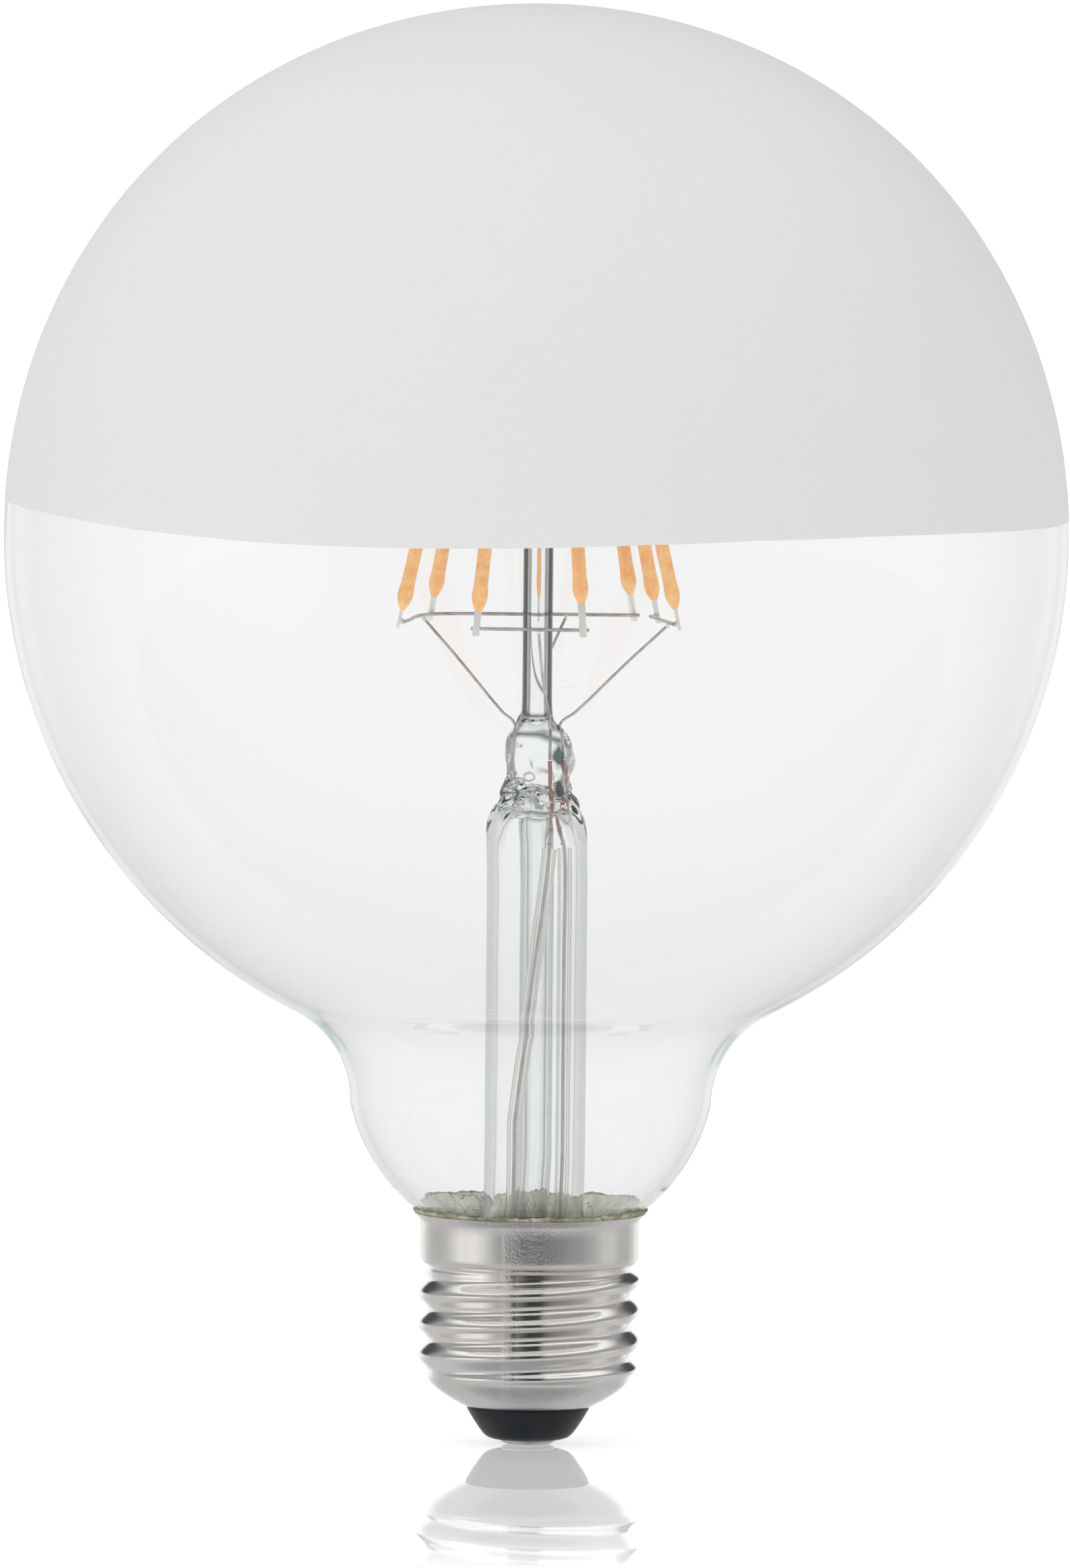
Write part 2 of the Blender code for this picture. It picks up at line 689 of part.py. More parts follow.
def filament_places():
    """Foot, head and lean of each filament, by its number."""
    places = {}
    for number, degrees in enumerate(FILAMENT_ANGLES, start=1):
        outward = bearing_vector(degrees)
        foot_radius = REAR_FOOT_RADIUS if number == REAR_FILAMENT else CAGE_FOOT_RADIUS
        lean = foot_radius - CAGE_HEAD_RADIUS
        rise = math.sqrt(FILAMENT_LENGTH ** 2 - lean ** 2)
        foot = cage_axis + outward * foot_radius + Vector((0, 0, cage_foot_z))
        head = cage_axis + outward * CAGE_HEAD_RADIUS + Vector((0, 0, cage_foot_z + rise))
        places[number] = Filament(number, foot, head, (head - foot).normalized(), outward)
    return places


FILAMENTS = filament_places()
FRONT_BRIDGE = (3, 4)
RIGHT_BRIDGE = (7, 6)
REAR_BRIDGE = (1, 2, 8, 5)
LEFT_TOP_ARC = (18, -130)
RIGHT_TOP_ARC = (80, 182)
LEFT_ARM_ANGLE = -53
RIGHT_ARM_ANGLE = 108


def tab_frame(filament):
    """The tab's width and thickness directions."""
    width = Vector((0, 0, 1)).cross(filament.outward).normalized()
    return width, width.cross(filament.axis).normalized()


def weld_seat(filament, run):
    """Where a bridge wire's centre passes a lower tab, on the side of the cage's axis."""
    weld = filament.foot + filament.axis * TAB_PROJECTION
    level_run = Vector((run.x, run.y, 0)).normalized()
    inward = -filament.outward
    inward = (inward - level_run * inward.dot(level_run)).normalized()
    width, thickness = tab_frame(filament)
    half_width = abs(width.dot(inward)) * TAB_WIDTH / 2
    half_thickness = abs(thickness.dot(inward)) * TAB_THICKNESS / 2
    return weld + inward * (half_width + half_thickness + WELD_GAP + WIRE_RADIUS)


def bridge_route(numbers):
    """The points of a lower bridge wire, past each of its filaments and a little beyond."""
    chain = [FILAMENTS[number] for number in numbers]
    seats = []
    for index, filament in enumerate(chain):
        run = chain[min(index + 1, len(chain) - 1)].foot - chain[max(index - 1, 0)].foot
        seats.append(weld_seat(filament, run))
    first = seats[0] + (seats[0] - seats[1]).normalized() * BRIDGE_OVERRUN
    last = seats[-1] + (seats[-1] - seats[-2]).normalized() * BRIDGE_OVERRUN
    return [first, *seats, last]


def top_arc_point(degrees):
    """A point of the circle that the top bridge wires follow, inside the upper tabs."""
    lean = math.asin((CAGE_FOOT_RADIUS - CAGE_HEAD_RADIUS) / FILAMENT_LENGTH)
    standoff = (TAB_THICKNESS / 2 + WELD_GAP + WIRE_RADIUS) / math.cos(lean)
    radius = CAGE_HEAD_RADIUS + TAB_PROJECTION * math.sin(lean) - standoff
    z = cage_foot_z + (FILAMENT_LENGTH - TAB_PROJECTION) * math.cos(lean)
    return cage_axis + bearing_vector(degrees) * radius + Vector((0, 0, z))


def top_arc(first_degrees, last_degrees):
    """The points of a top bridge wire, a little beyond its outermost filaments."""
    way = math.copysign(1, last_degrees - first_degrees)
    overrun = way * math.degrees(BRIDGE_OVERRUN / CAGE_HEAD_RADIUS)
    start = first_degrees - overrun
    sweep = last_degrees + overrun - start
    steps = round(abs(sweep) / 12)
    return [top_arc_point(start + sweep * step / steps) for step in range(steps + 1)]


def make_filament(filament):
    """A coated strip with slightly swollen ends and a flat tab at each end."""
    width, thickness = tab_frame(filament)
    coat = FILAMENT_RADIUS
    tab = (TAB_WIDTH / 2, TAB_THICKNESS / 2)
    lower_half = [
        (0, *tab),
        (TAB_LENGTH, *tab),
        (TAB_LENGTH + 0.1 * coat, 0.62 * coat, 0.62 * coat),
        (TAB_LENGTH + 1.0 * coat, FILAMENT_BULGE * coat, FILAMENT_BULGE * coat),
        (TAB_LENGTH + 3.5 * coat, coat, coat),
    ]
    upper_half = [(FILAMENT_LENGTH - along, a, b) for along, a, b in reversed(lower_half)]
    rings = []
    for along, across, deep in lower_half + upper_half:
        centre = filament.foot + filament.axis * along
        rings.append([
            centre + width * across * math.cos(turn * math.pi / 4)
            + thickness * deep * math.sin(turn * math.pi / 4)
            for turn in range(8)
        ])
    add_mesh(f"led_filament_{filament.number}", skin(rings, caps=True), PHOSPHOR, sharp=50)


def make_bridges():
    for name, numbers in (
        ("front_bridge_wire", FRONT_BRIDGE),
        ("right_bridge_wire", RIGHT_BRIDGE),
        ("rear_bridge_wire", REAR_BRIDGE),
    ):
        first, *seats, last = bridge_route(numbers)
        add_wire(name, [first, *smooth(seats, 3), last], WIRE_RADIUS, BRIGHT_NICKEL)
    add_wire("left_top_bridge_wire", top_arc(*LEFT_TOP_ARC), WIRE_RADIUS, BRIGHT_NICKEL)
    add_wire("right_top_bridge_wire", top_arc(*RIGHT_TOP_ARC), WIRE_RADIUS, BRIGHT_NICKEL)


def socket_floor_radius():
    """How near the rod's axis an arm's socket reaches."""
    return 0.35 * ROD_BUTTON_RADIUS


def make_top_arms():
    """The two arms that stand in the rod's button and carry the top bridges."""
    for name, bearing in (("left_top_arm", LEFT_ARM_ANGLE), ("right_top_arm", RIGHT_ARM_ANGLE)):
        outward = bearing_vector(bearing)
        carried = top_arc_point(bearing)
        reach = Vector((carried.x, carried.y, 0)).length
        level = Vector((0, 0, arm_z()))
        clear = 2 * WIRE_RADIUS + WELD_GAP
        points = [
            level + outward * (socket_floor_radius() + SEAT_GAP),
            level + outward * (ROD_BUTTON_RADIUS + 2 * WIRE_RADIUS),
            level + outward * (reach - 2 * clear),
            Vector((0, 0, carried.z + clear)) + outward * reach,
        ]
        add_wire(name, smooth(points, 3), WIRE_RADIUS, BRIGHT_NICKEL)


# Wires that carry the cage

def support_route(bridge_point, place, bends, end_z):
    """From under a bridge wire down to the pinch and into it, to a given height."""
    entry = Vector((*place, pinch_top_z + WIRE_RADIUS))
    span = bridge_point - entry
    start = bridge_point - span.normalized() * (2 * WIRE_RADIUS + WELD_GAP)
    points = [start]
    for along, rise in bends:
        points.append(entry + Vector((span.x * along, span.y * along, span.z * rise)))
    points += [entry, Vector((*place, end_z))]
    return smooth(points, 3)


def make_support_wires():
    """Two wires go on into the stem as current leads; the other two end in the pinch."""
    front = bridge_route(FRONT_BRIDGE)
    right = bridge_route(RIGHT_BRIDGE)
    rear = bridge_route(REAR_BRIDGE)
    straight = ((0.6, 0.6), (0.14, 0.12))
    bowed = ((0.72, 0.62), (0.4, 0.32), (0.1, 0.13))
    lead_end_z = pinch_top_z - 0.55 * PINCH_HEIGHT
    anchor_end_z = pinch_top_z - ANCHOR_DEPTH
    for name, bridge_point, place, bends, end_z in (
        ("front_support_wire", front[1].lerp(front[2], 0.58), PINCH_FRONT_WIRE, bowed, lead_end_z),
        ("right_support_wire", right[1].lerp(right[2], 0.12), PINCH_RIGHT_WIRE, straight, lead_end_z),
        ("left_support_wire", rear[1].lerp(rear[2], 0.6), PINCH_LEFT_WIRE, straight, anchor_end_z),
        ("rear_support_wire", rear[3].lerp(rear[4], 0.32), PINCH_REAR_WIRE, straight, anchor_end_z),
    ):
        route = support_route(bridge_point, place, bends, end_z)
        add_wire(name, route, WIRE_RADIUS, BRIGHT_NICKEL)
    seal_top_z = lead_end_z - WELD_GAP
    seal_end_z = seal_top_z - SEAL_WIRE_LENGTH
    for name, place in (("front_seal_wire", PINCH_FRONT_WIRE), ("right_seal_wire", PINCH_RIGHT_WIRE)):
        ends = [Vector((*place, seal_top_z)), Vector((*place, seal_end_z))]
        add_wire(name, ends, WIRE_RADIUS, COPPER)
    return seal_end_z


def on_sleeve_ring(angle, z):
    """A point between the exhaust tube and the stem tube's wall."""
    return Vector((sleeve_ring_radius * math.cos(angle), sleeve_ring_radius * math.sin(angle), z))


def make_leads(seal_end_z):
    """The two leads in their sleeves, from the pinch's wires to the driver board."""
    sleeve_top_z = seal_end_z - SLEEVE_DROP
    sleeve_end_z = board_top_z + SLEEVE_TAIL
    lap_y = -(BOARD_THICKNESS / 2 + SEAT_GAP + LEAD_RADIUS)
    bend_z = sleeve_end_z + 0.36 * (sleeve_top_z - sleeve_end_z)
    slanted = []
    slant_steps = 5
    for step in range(slant_steps + 1):
        share = step / slant_steps
        angle = SLEEVE_START_ANGLE + share * (SLEEVE_END_ANGLE - SLEEVE_START_ANGLE)
        slanted.append(on_sleeve_ring(angle, sleeve_top_z + share * (bend_z - sleeve_top_z)))
    slanted.append(on_sleeve_ring(SLEEVE_END_ANGLE, sleeve_end_z))
    upright = [
        on_sleeve_ring(SECOND_SLEEVE_ANGLE, sleeve_top_z),
        on_sleeve_ring(SECOND_SLEEVE_ANGLE, sleeve_end_z),
    ]
    for number, place, route in ((1, PINCH_FRONT_WIRE, slanted), (2, PINCH_RIGHT_WIRE, upright)):
        path = smooth(route, 1)
        outer = tube_rings(path, sleeve_radius, SLEEVE_SIDES)
        inner = tube_rings(path, sleeve_bore, SLEEVE_SIDES)
        sleeve = skin(outer + inner[::-1], loop=True)
        bmesh.ops.recalc_face_normals(sleeve, faces=sleeve.faces)
        add_mesh(f"lead_sleeve_{number}", sleeve, CLEAR_SLEEVE)
        top = Vector((*place, seal_end_z - WELD_GAP))
        foot = Vector((route[-1].x, lap_y, board_top_z - LEAD_LAP))
        lap = Vector((route[-1].x, lap_y, board_top_z))
        add_wire(f"outer_lead_{number}", [top, *path, lap, foot], LEAD_RADIUS, TINNED_COPPER)


# Driver in the cap

def make_driver():
    """The board on the insulator's seat, its parts on both faces, and the cap's two leads."""
    middle_z = (board_bottom_z + board_top_z) / 2
    face = BOARD_THICKNESS / 2
    board_size = (BOARD_WIDTH, BOARD_THICKNESS, BOARD_HEIGHT)
    add_block("driver_board", board_size, (0, 0, middle_z), BOARD_GREEN)

    def against_face(side, depth):
        return side * (face + SEAT_GAP + depth / 2)

    add_block(
        "bridge_rectifier", RECTIFIER_SIZE,
        (-0.3 * BOARD_WIDTH, against_face(-1, RECTIFIER_SIZE[1]), middle_z - 0.12 * BOARD_HEIGHT),
        MOULDED_BLACK,
    )
    add_block(
        "driver_chip", CHIP_SIZE,
        (0.22 * BOARD_WIDTH, against_face(-1, CHIP_SIZE[1]), middle_z - 0.16 * BOARD_HEIGHT),
        MOULDED_BLACK,
    )
    can = lathe([
        (0, CAPACITOR_LENGTH / 2),
        (0.88 * CAPACITOR_RADIUS, CAPACITOR_LENGTH / 2),
        (CAPACITOR_RADIUS, 0.46 * CAPACITOR_LENGTH),
        (CAPACITOR_RADIUS, -0.38 * CAPACITOR_LENGTH),
        (0.92 * CAPACITOR_RADIUS, -0.42 * CAPACITOR_LENGTH),
        (CAPACITOR_RADIUS, -0.46 * CAPACITOR_LENGTH),
        (0.88 * CAPACITOR_RADIUS, -CAPACITOR_LENGTH / 2),
        (0, -CAPACITOR_LENGTH / 2),
    ], STEM_SEGMENTS)
    capacitor = add_mesh("smoothing_capacitor", can, CAPACITOR_SLEEVE)
    capacitor.location = (-0.22 * BOARD_WIDTH, against_face(1, 2 * CAPACITOR_RADIUS), middle_z)
    drum = lathe([
        (0, CHOKE_LENGTH / 2),
        (CHOKE_RADIUS, CHOKE_LENGTH / 2),
        (CHOKE_RADIUS, 0.36 * CHOKE_LENGTH),
        (0.86 * CHOKE_RADIUS, 0.36 * CHOKE_LENGTH),
        (0.86 * CHOKE_RADIUS, -0.36 * CHOKE_LENGTH),
        (CHOKE_RADIUS, -0.36 * CHOKE_LENGTH),
        (CHOKE_RADIUS, -CHOKE_LENGTH / 2),
        (0, -CHOKE_LENGTH / 2),
    ], SMALL_SEGMENTS)
    choke = add_mesh("choke", drum, FERRITE)
    choke.location = (0.24 * BOARD_WIDTH, against_face(1, 2 * CHOKE_RADIUS), middle_z)
    body = lathe([
        (0, FUSE_LENGTH / 2),
        (0.8 * FUSE_RADIUS, FUSE_LENGTH / 2),
        (FUSE_RADIUS, 0.4 * FUSE_LENGTH),
        (0.85 * FUSE_RADIUS, 0.25 * FUSE_LENGTH),
        (0.85 * FUSE_RADIUS, -0.25 * FUSE_LENGTH),
        (FUSE_RADIUS, -0.4 * FUSE_LENGTH),
        (0.8 * FUSE_RADIUS, -FUSE_LENGTH / 2),
        (0, -FUSE_LENGTH / 2),
    ], SMALL_SEGMENTS)
    fuse = add_mesh("fuse_resistor", body, FUSE_BODY)
    fuse.rotation_euler = (0, math.pi / 2, 0)
    fuse.location = (
        -0.02 * BOARD_WIDTH,
        against_face(-1, 2 * FUSE_RADIUS),
        board_top_z - LEAD_LAP - FUSE_RADIUS - SEAT_GAP - LEAD_RADIUS,
    )

    lap_y = -(face + SEAT_GAP + LEAD_RADIUS)
    live = [
        Vector((0, 0, CONTACT_THICKNESS + SEAT_GAP)),
        Vector((0, 0, insulator_seat_z - INSULATOR_WELL_DEPTH)),
        Vector((0, 0.6 * lap_y, insulator_seat_z - 0.55 * INSULATOR_WELL_DEPTH)),
        Vector((0, lap_y, insulator_seat_z - 0.1 * INSULATOR_WELL_DEPTH)),
        Vector((0, lap_y, board_bottom_z + LEAD_LAP)),
    ]
    add_wire("live_lead", live, LEAD_RADIUS, TINNED_COPPER)
    shell_bore = THREAD_ROOT_RADIUS - SHELL_WALL
    neutral = [
        Vector((0.5 * BOARD_WIDTH - 2 * LEAD_LAP, lap_y, board_top_z - 2 * LEAD_LAP)),
        Vector((0.5 * BOARD_WIDTH, lap_y, board_top_z - 2 * LEAD_LAP)),
        Vector((shell_bore - 2 * SEAT_GAP - LEAD_RADIUS, 1.4 * lap_y, board_top_z - LEAD_LAP)),
        Vector((shell_bore - 2 * SEAT_GAP - LEAD_RADIUS, 1.4 * lap_y, board_top_z + LEAD_LAP)),
    ]
    add_wire("neutral_lead", smooth(neutral, 2), LEAD_RADIUS, TINNED_COPPER)


def main():
    for thing in list(bpy.data.objects):
        bpy.data.objects.remove(thing)
    make_globe()
    make_screw_shell()
    make_cement()
    make_insulator()
    make_contact()
    make_stem()
    make_exhaust_tube()
    make_rod()
    for filament in FILAMENTS.values():
        make_filament(filament)
    make_bridges()
    make_top_arms()
    seal_end_z = make_support_wires()
    make_leads(seal_end_z)
    make_driver()


main()
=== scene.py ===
import math

import bmesh
import bpy
from mathutils import Euler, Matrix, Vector, noise


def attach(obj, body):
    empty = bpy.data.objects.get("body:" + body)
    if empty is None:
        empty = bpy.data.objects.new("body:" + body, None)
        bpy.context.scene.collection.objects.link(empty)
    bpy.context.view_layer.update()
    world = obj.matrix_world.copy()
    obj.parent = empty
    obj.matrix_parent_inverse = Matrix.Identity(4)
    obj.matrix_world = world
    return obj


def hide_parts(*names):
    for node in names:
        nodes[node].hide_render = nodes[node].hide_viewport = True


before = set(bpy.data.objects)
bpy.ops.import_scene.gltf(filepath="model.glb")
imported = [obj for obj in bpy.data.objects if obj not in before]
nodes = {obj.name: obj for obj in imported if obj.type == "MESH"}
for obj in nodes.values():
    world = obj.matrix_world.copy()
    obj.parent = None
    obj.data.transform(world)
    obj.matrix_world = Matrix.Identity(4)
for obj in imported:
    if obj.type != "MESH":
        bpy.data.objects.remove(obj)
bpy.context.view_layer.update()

# Lengths are in millimetres, in the CAD's frame. MM turns them into metres when a mesh is made.
MM = 0.001

GLOBE_RADIUS = 62.5
GLOBE_CENTRE_Z = 106.793
GLASS_WALL = 0.9
WAIST_RADIUS = 21.2
WAIST_Z = 40.1
SWEEP_RADIUS = 12.0
RIM_Z = 27.4
MOUTH_RADIUS = 13.0
NECK_RADIUS = 11.4
NECK_END_Z = 22.4
CROWN_FULLNESS = 0.0065
FROST_Z = 109.6
FROST_RISE = 0.09
# The dipped edge's waves: how many a turn, their height, and their crest's angle from the front
FROST_WAVES = ((1, 0.27, 24), (2, 0.49, -64), (3, 0.78, 34))
COAT = 0.04

THREAD_PITCH = 3.629
THREAD_ROOT = 11.9
THREAD_DEPTH = 1.15
THREAD_BOTTOM_Z = 7.8
THREAD_TOP_Z = 20.9
THREAD_RUN_OUT = 1.4
THREAD_CREST_ANGLE = math.radians(-72)
COLLAR_RADIUS = 12.84
LIP_RADIUS = 13.6
SHELL_WALL = 0.3
COLLAR_FOOT_Z = 22.4
THREAD_START_Z = 20.95

PINCH_TOP_Z = 84.5
STEM_RADIUS = 5.9
STEM_WALL = 1.2
ROD_RADIUS = 1.75
ROD_TOP_Z = 135.0
ARM_Z = 132.3
BUTTON_RADIUS = 2.7
EXHAUST_RADIUS = 2.0
EXHAUST_BORE = 1.2
# The sealed-in stem leans to the right above its flare, and partly back again at the pinch
STEM_LEAN = 0.5
LEAN_FOOT_Z = 23
LEAN_LENGTH = 8
STEM_RETURN = 0.22
RETURN_FOOT_Z = 65
RETURN_LENGTH = 13

CAGE_X = 0.4
CAGE_FOOT_Z = 96.1
CAGE_FOOT_RADIUS = 16.8
CAGE_HEAD_RADIUS = 8.4
REAR_FOOT_RADIUS = 12.0
REAR_FILAMENT = 8
FILAMENT_ANGLES = (-80, -130, -26, 18, 138, 123, 80, 182)
FILAMENT_LENGTH = 38.0
FILAMENT_RADIUS = 0.85
TAB_LENGTH = 2.5
TAB_WIDTH = 0.9
TAB_THICKNESS = 0.3
TAB_PROJECTION = 0.8
COAT_LAP = 0.35
WIRE_RADIUS = 0.275
BRIDGE_WIRE = 0.21
SUPPORT_WIRE = 0.17
# How much more of each filament's lower tab is bare than of the shortest one
BARE_TABS = (0.0, 0.75, 0.7, 1.8, 1.1, 0.6, 0.4, 0.6)
WELD_GAP = 0.12
WIRE_OVERRUN = 0.7

LEAD_END_Z = PINCH_TOP_Z - 3.8
ANCHOR_END_Z = PINCH_TOP_Z - 6.0
SEAL_RADIUS = 0.25
SEAL_LENGTH = 8
SEAL_END_Z = LEAD_END_Z - WELD_GAP - SEAL_LENGTH
LEAD_RADIUS = 0.2
SLEEVE_RADIUS = 0.8
SLEEVE_BORE = 0.5
BOARD_TOP_Z = 18.6
SLEEVE_TOP_Z = SEAL_END_Z - 2.2
SLEEVE_END_Z = BOARD_TOP_Z + 1.0


# Shapes

def bezier(start, first, second, end, steps):
    curve = []
    for step in range(1, steps + 1):
        t = step / steps
        weights = ((1 - t) ** 3, 3 * t * (1 - t) ** 2, 3 * t * t * (1 - t), t ** 3)
        corners = (start, first, second, end)
        curve.append(tuple(sum(w * c[axis] for w, c in zip(weights, corners)) for axis in (0, 1)))
    return curve


def smooth(points, steps):
    """Points of a smooth curve through the given points, even where they lie unevenly."""
    knots = [Vector(point) for point in points]
    knots = [2 * knots[0] - knots[1], *knots, 2 * knots[-1] - knots[-2]]
    curve = [knots[1]]
    for a, b, c, d in zip(knots, knots[1:], knots[2:], knots[3:]):
        before, span, after = (b - a).length ** 0.5, (c - b).length ** 0.5, (d - c).length ** 0.5
        leave = (b - a) / before - (c - a) / (before + span) + (c - b) / span
        reach = (c - b) / span - (d - b) / (span + after) + (d - c) / after
        leave, reach = leave * span, reach * span
        for step in range(1, steps + 1):
            t = step / steps
            curve.append(
                b * (2 * t ** 3 - 3 * t * t + 1) + leave * (t ** 3 - 2 * t * t + t)
                + c * (3 * t * t - 2 * t ** 3) + reach * (t ** 3 - t * t)
            )
    return curve


def offset_inward(profile, distance):
    moved = []
    for index, (radius, z) in enumerate(profile):
        before = profile[max(index - 1, 0)]
        after = profile[min(index + 1, len(profile) - 1)]
        run = Vector((after[0] - before[0], after[1] - before[1])).normalized()
        moved.append((max(radius + run.y * distance, 0.0), z - run.x * distance))
    return moved


def clamp(value, low=0.0, high=1.0):
    return min(max(value, low), high)


def eased(share):
    """A share that starts and stops gently."""
    return share * share * (3 - 2 * share)


def circle(count):
    """The angles of points spread evenly round a circle."""
    return [2 * math.pi * column / count for column in range(count)]


def ring(radius_x, radius_y, z, segments, shift=0.0):
    """The points of a level ellipse, or one point where it has no width."""
    if radius_x == 0:
        return [Vector((shift, 0, z))]
    return [Vector((shift + radius_x * math.cos(a), radius_y * math.sin(a), z)) for a in circle(segments)]


def level_part(vector):
    return Vector((vector.x, vector.y, 0))


def lathe_rings(profile, segments):
    return [ring(radius, radius, z, segments) for radius, z in profile]


def upright(radius, *heights):
    return [(radius, z) for z in heights]


def tube_rings(points, radius, sides):
    """Rings square to a path. The radius is a number or a function of the share of the way."""
    rings = []
    side = None
    for index, point in enumerate(points):
        ahead = points[min(index + 1, len(points) - 1)] - points[max(index - 1, 0)]
        ahead.normalize()
        if side is None:
            side = ahead.orthogonal()
        side = (side - ahead * side.dot(ahead)).normalized()
        across = ahead.cross(side)
        size = radius(index / (len(points) - 1)) if callable(radius) else radius
        rings.append([point + (side * math.cos(a) + across * math.sin(a)) * size for a in circle(sides)])
    return rings


def skin(rings, mesh=None, loop=False, caps=False, mend=False):
    """Faces through rings, from top to bottom on the outer side. Mending turns them all outwards."""
    if mesh is None:
        mesh = bmesh.new()
    verts = [[mesh.verts.new(point) for point in points] for points in rings]
    pairs = list(zip(verts, verts[1:]))
    if loop:
        pairs.append((verts[-1], verts[0]))
    for upper, lower in pairs:
        count = max(len(upper), len(lower))
        for column in range(count):
            following = (column + 1) % count
            corners = (
                upper[column % len(upper)], lower[column % len(lower)],
                lower[following % len(lower)], upper[following % len(upper)],
            )
            mesh.faces.new(list(dict.fromkeys(corners)))
    if caps:
        mesh.faces.new(verts[0][::-1])
        mesh.faces.new(verts[-1])
    if mend:
        bmesh.ops.recalc_face_normals(mesh, faces=mesh.faces)
    return mesh


def as_data(name, mesh):
    data = bpy.data.meshes.new(name)
    mesh.to_mesh(data)
    mesh.free()
    return data


def as_object(name, data):
    thing = bpy.data.objects.new(name, data)
    bpy.context.scene.collection.objects.link(thing)
    return thing


def place(name, mesh, material, slot, stands_for=(), sharp=None):
    """Makes a piece of a mesh in millimetres and lets it ride on the lamp."""
    bmesh.ops.scale(mesh, vec=(MM, MM, MM), verts=mesh.verts)
    data = as_data(name, mesh)
    data.shade_smooth()
    if sharp is not None:
        data.set_sharp_from_angle(angle=math.radians(sharp))
    piece = as_object(name, data)
    data.materials.append(material)
    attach(piece, "root")
    if stands_for:
        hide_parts(*stands_for)


def wire(name, points, material, slot, stands_for, radius=WIRE_RADIUS, sides=14):
    """A drawn wire with slightly rounded cut ends."""
    start = (points[1] - points[0]).normalized()
    end = (points[-1] - points[-2]).normalized()
    nub = 0.25 * radius
    rings = tube_rings([points[0] + start * nub, *points[1:-1], points[-1] - end * nub], radius, sides)
    ends = []
    for around, outward in ((rings[0], -start), (rings[-1], end)):
        middle = sum(around, Vector()) / sides
        ends.append([middle + (point - middle) * 0.72 + outward * nub for point in around])
    mesh = skin([ends[0], *rings, ends[1]], caps=True, mend=True)
    place(name, mesh, material, slot, stands_for, sharp=50)


def blob_into(mesh, centre, size, seed):
    """A small melted bead, such as a weld or a drop of solder."""
    made = bmesh.ops.create_icosphere(mesh, subdivisions=2, radius=1.0)
    for vert in made["verts"]:
        swell = 1 + 0.25 * noise.noise(vert.co * 1.3 + Vector((seed, 2 * seed, 3 * seed)))
        vert.co = Vector(centre) + Vector([part * half for part, half in zip(vert.co, size)]) * swell


# Materials

WHITE = (1.0, 1.0, 1.0)


class Nodes:
    """Short ways to add nodes to a tree."""

    def __init__(self, tree):
        self.tree = tree

    def node(self, kind, inputs=None, **settings):
        made = self.tree.nodes.new("ShaderNode" + kind)
        for key, value in settings.items():
            setattr(made, key, value)
        for key, value in (inputs or {}).items():
            if isinstance(value, bpy.types.NodeSocket):
                self.tree.links.new(value, made.inputs[key])
            else:
                made.inputs[key].default_value = value
        return made

    def math(self, operation, first, second=0.0):
        return self.node("Math", {0: first, 1: second}, operation=operation).outputs["Value"]

    def times(self, product, *factors):
        for factor in factors:
            product = self.math("MULTIPLY", product, factor)
        return product

    def spread(self, value, low, high, to_low=0.0, to_high=1.0, kind="LINEAR"):
        """A value's range turned into another range."""
        return self.node("MapRange", {
            "Value": value, "From Min": low, "From Max": high, "To Min": to_low, "To Max": to_high,
        }, interpolation_type=kind).outputs["Result"]

    def rise(self, value, low, high):
        """From 0 to 1 between two values, gently."""
        return self.spread(value, low, high, kind="SMOOTHSTEP")

    def fall(self, value, low, high):
        """From 1 to 0 between two values, gently."""
        return self.spread(value, low, high, 1.0, 0.0, "SMOOTHSTEP")

    def level(self, share, first, second):
        """A number between two others."""
        return self.node("Mix", {0: share, 2: first, 3: second}, data_type="FLOAT").outputs[0]


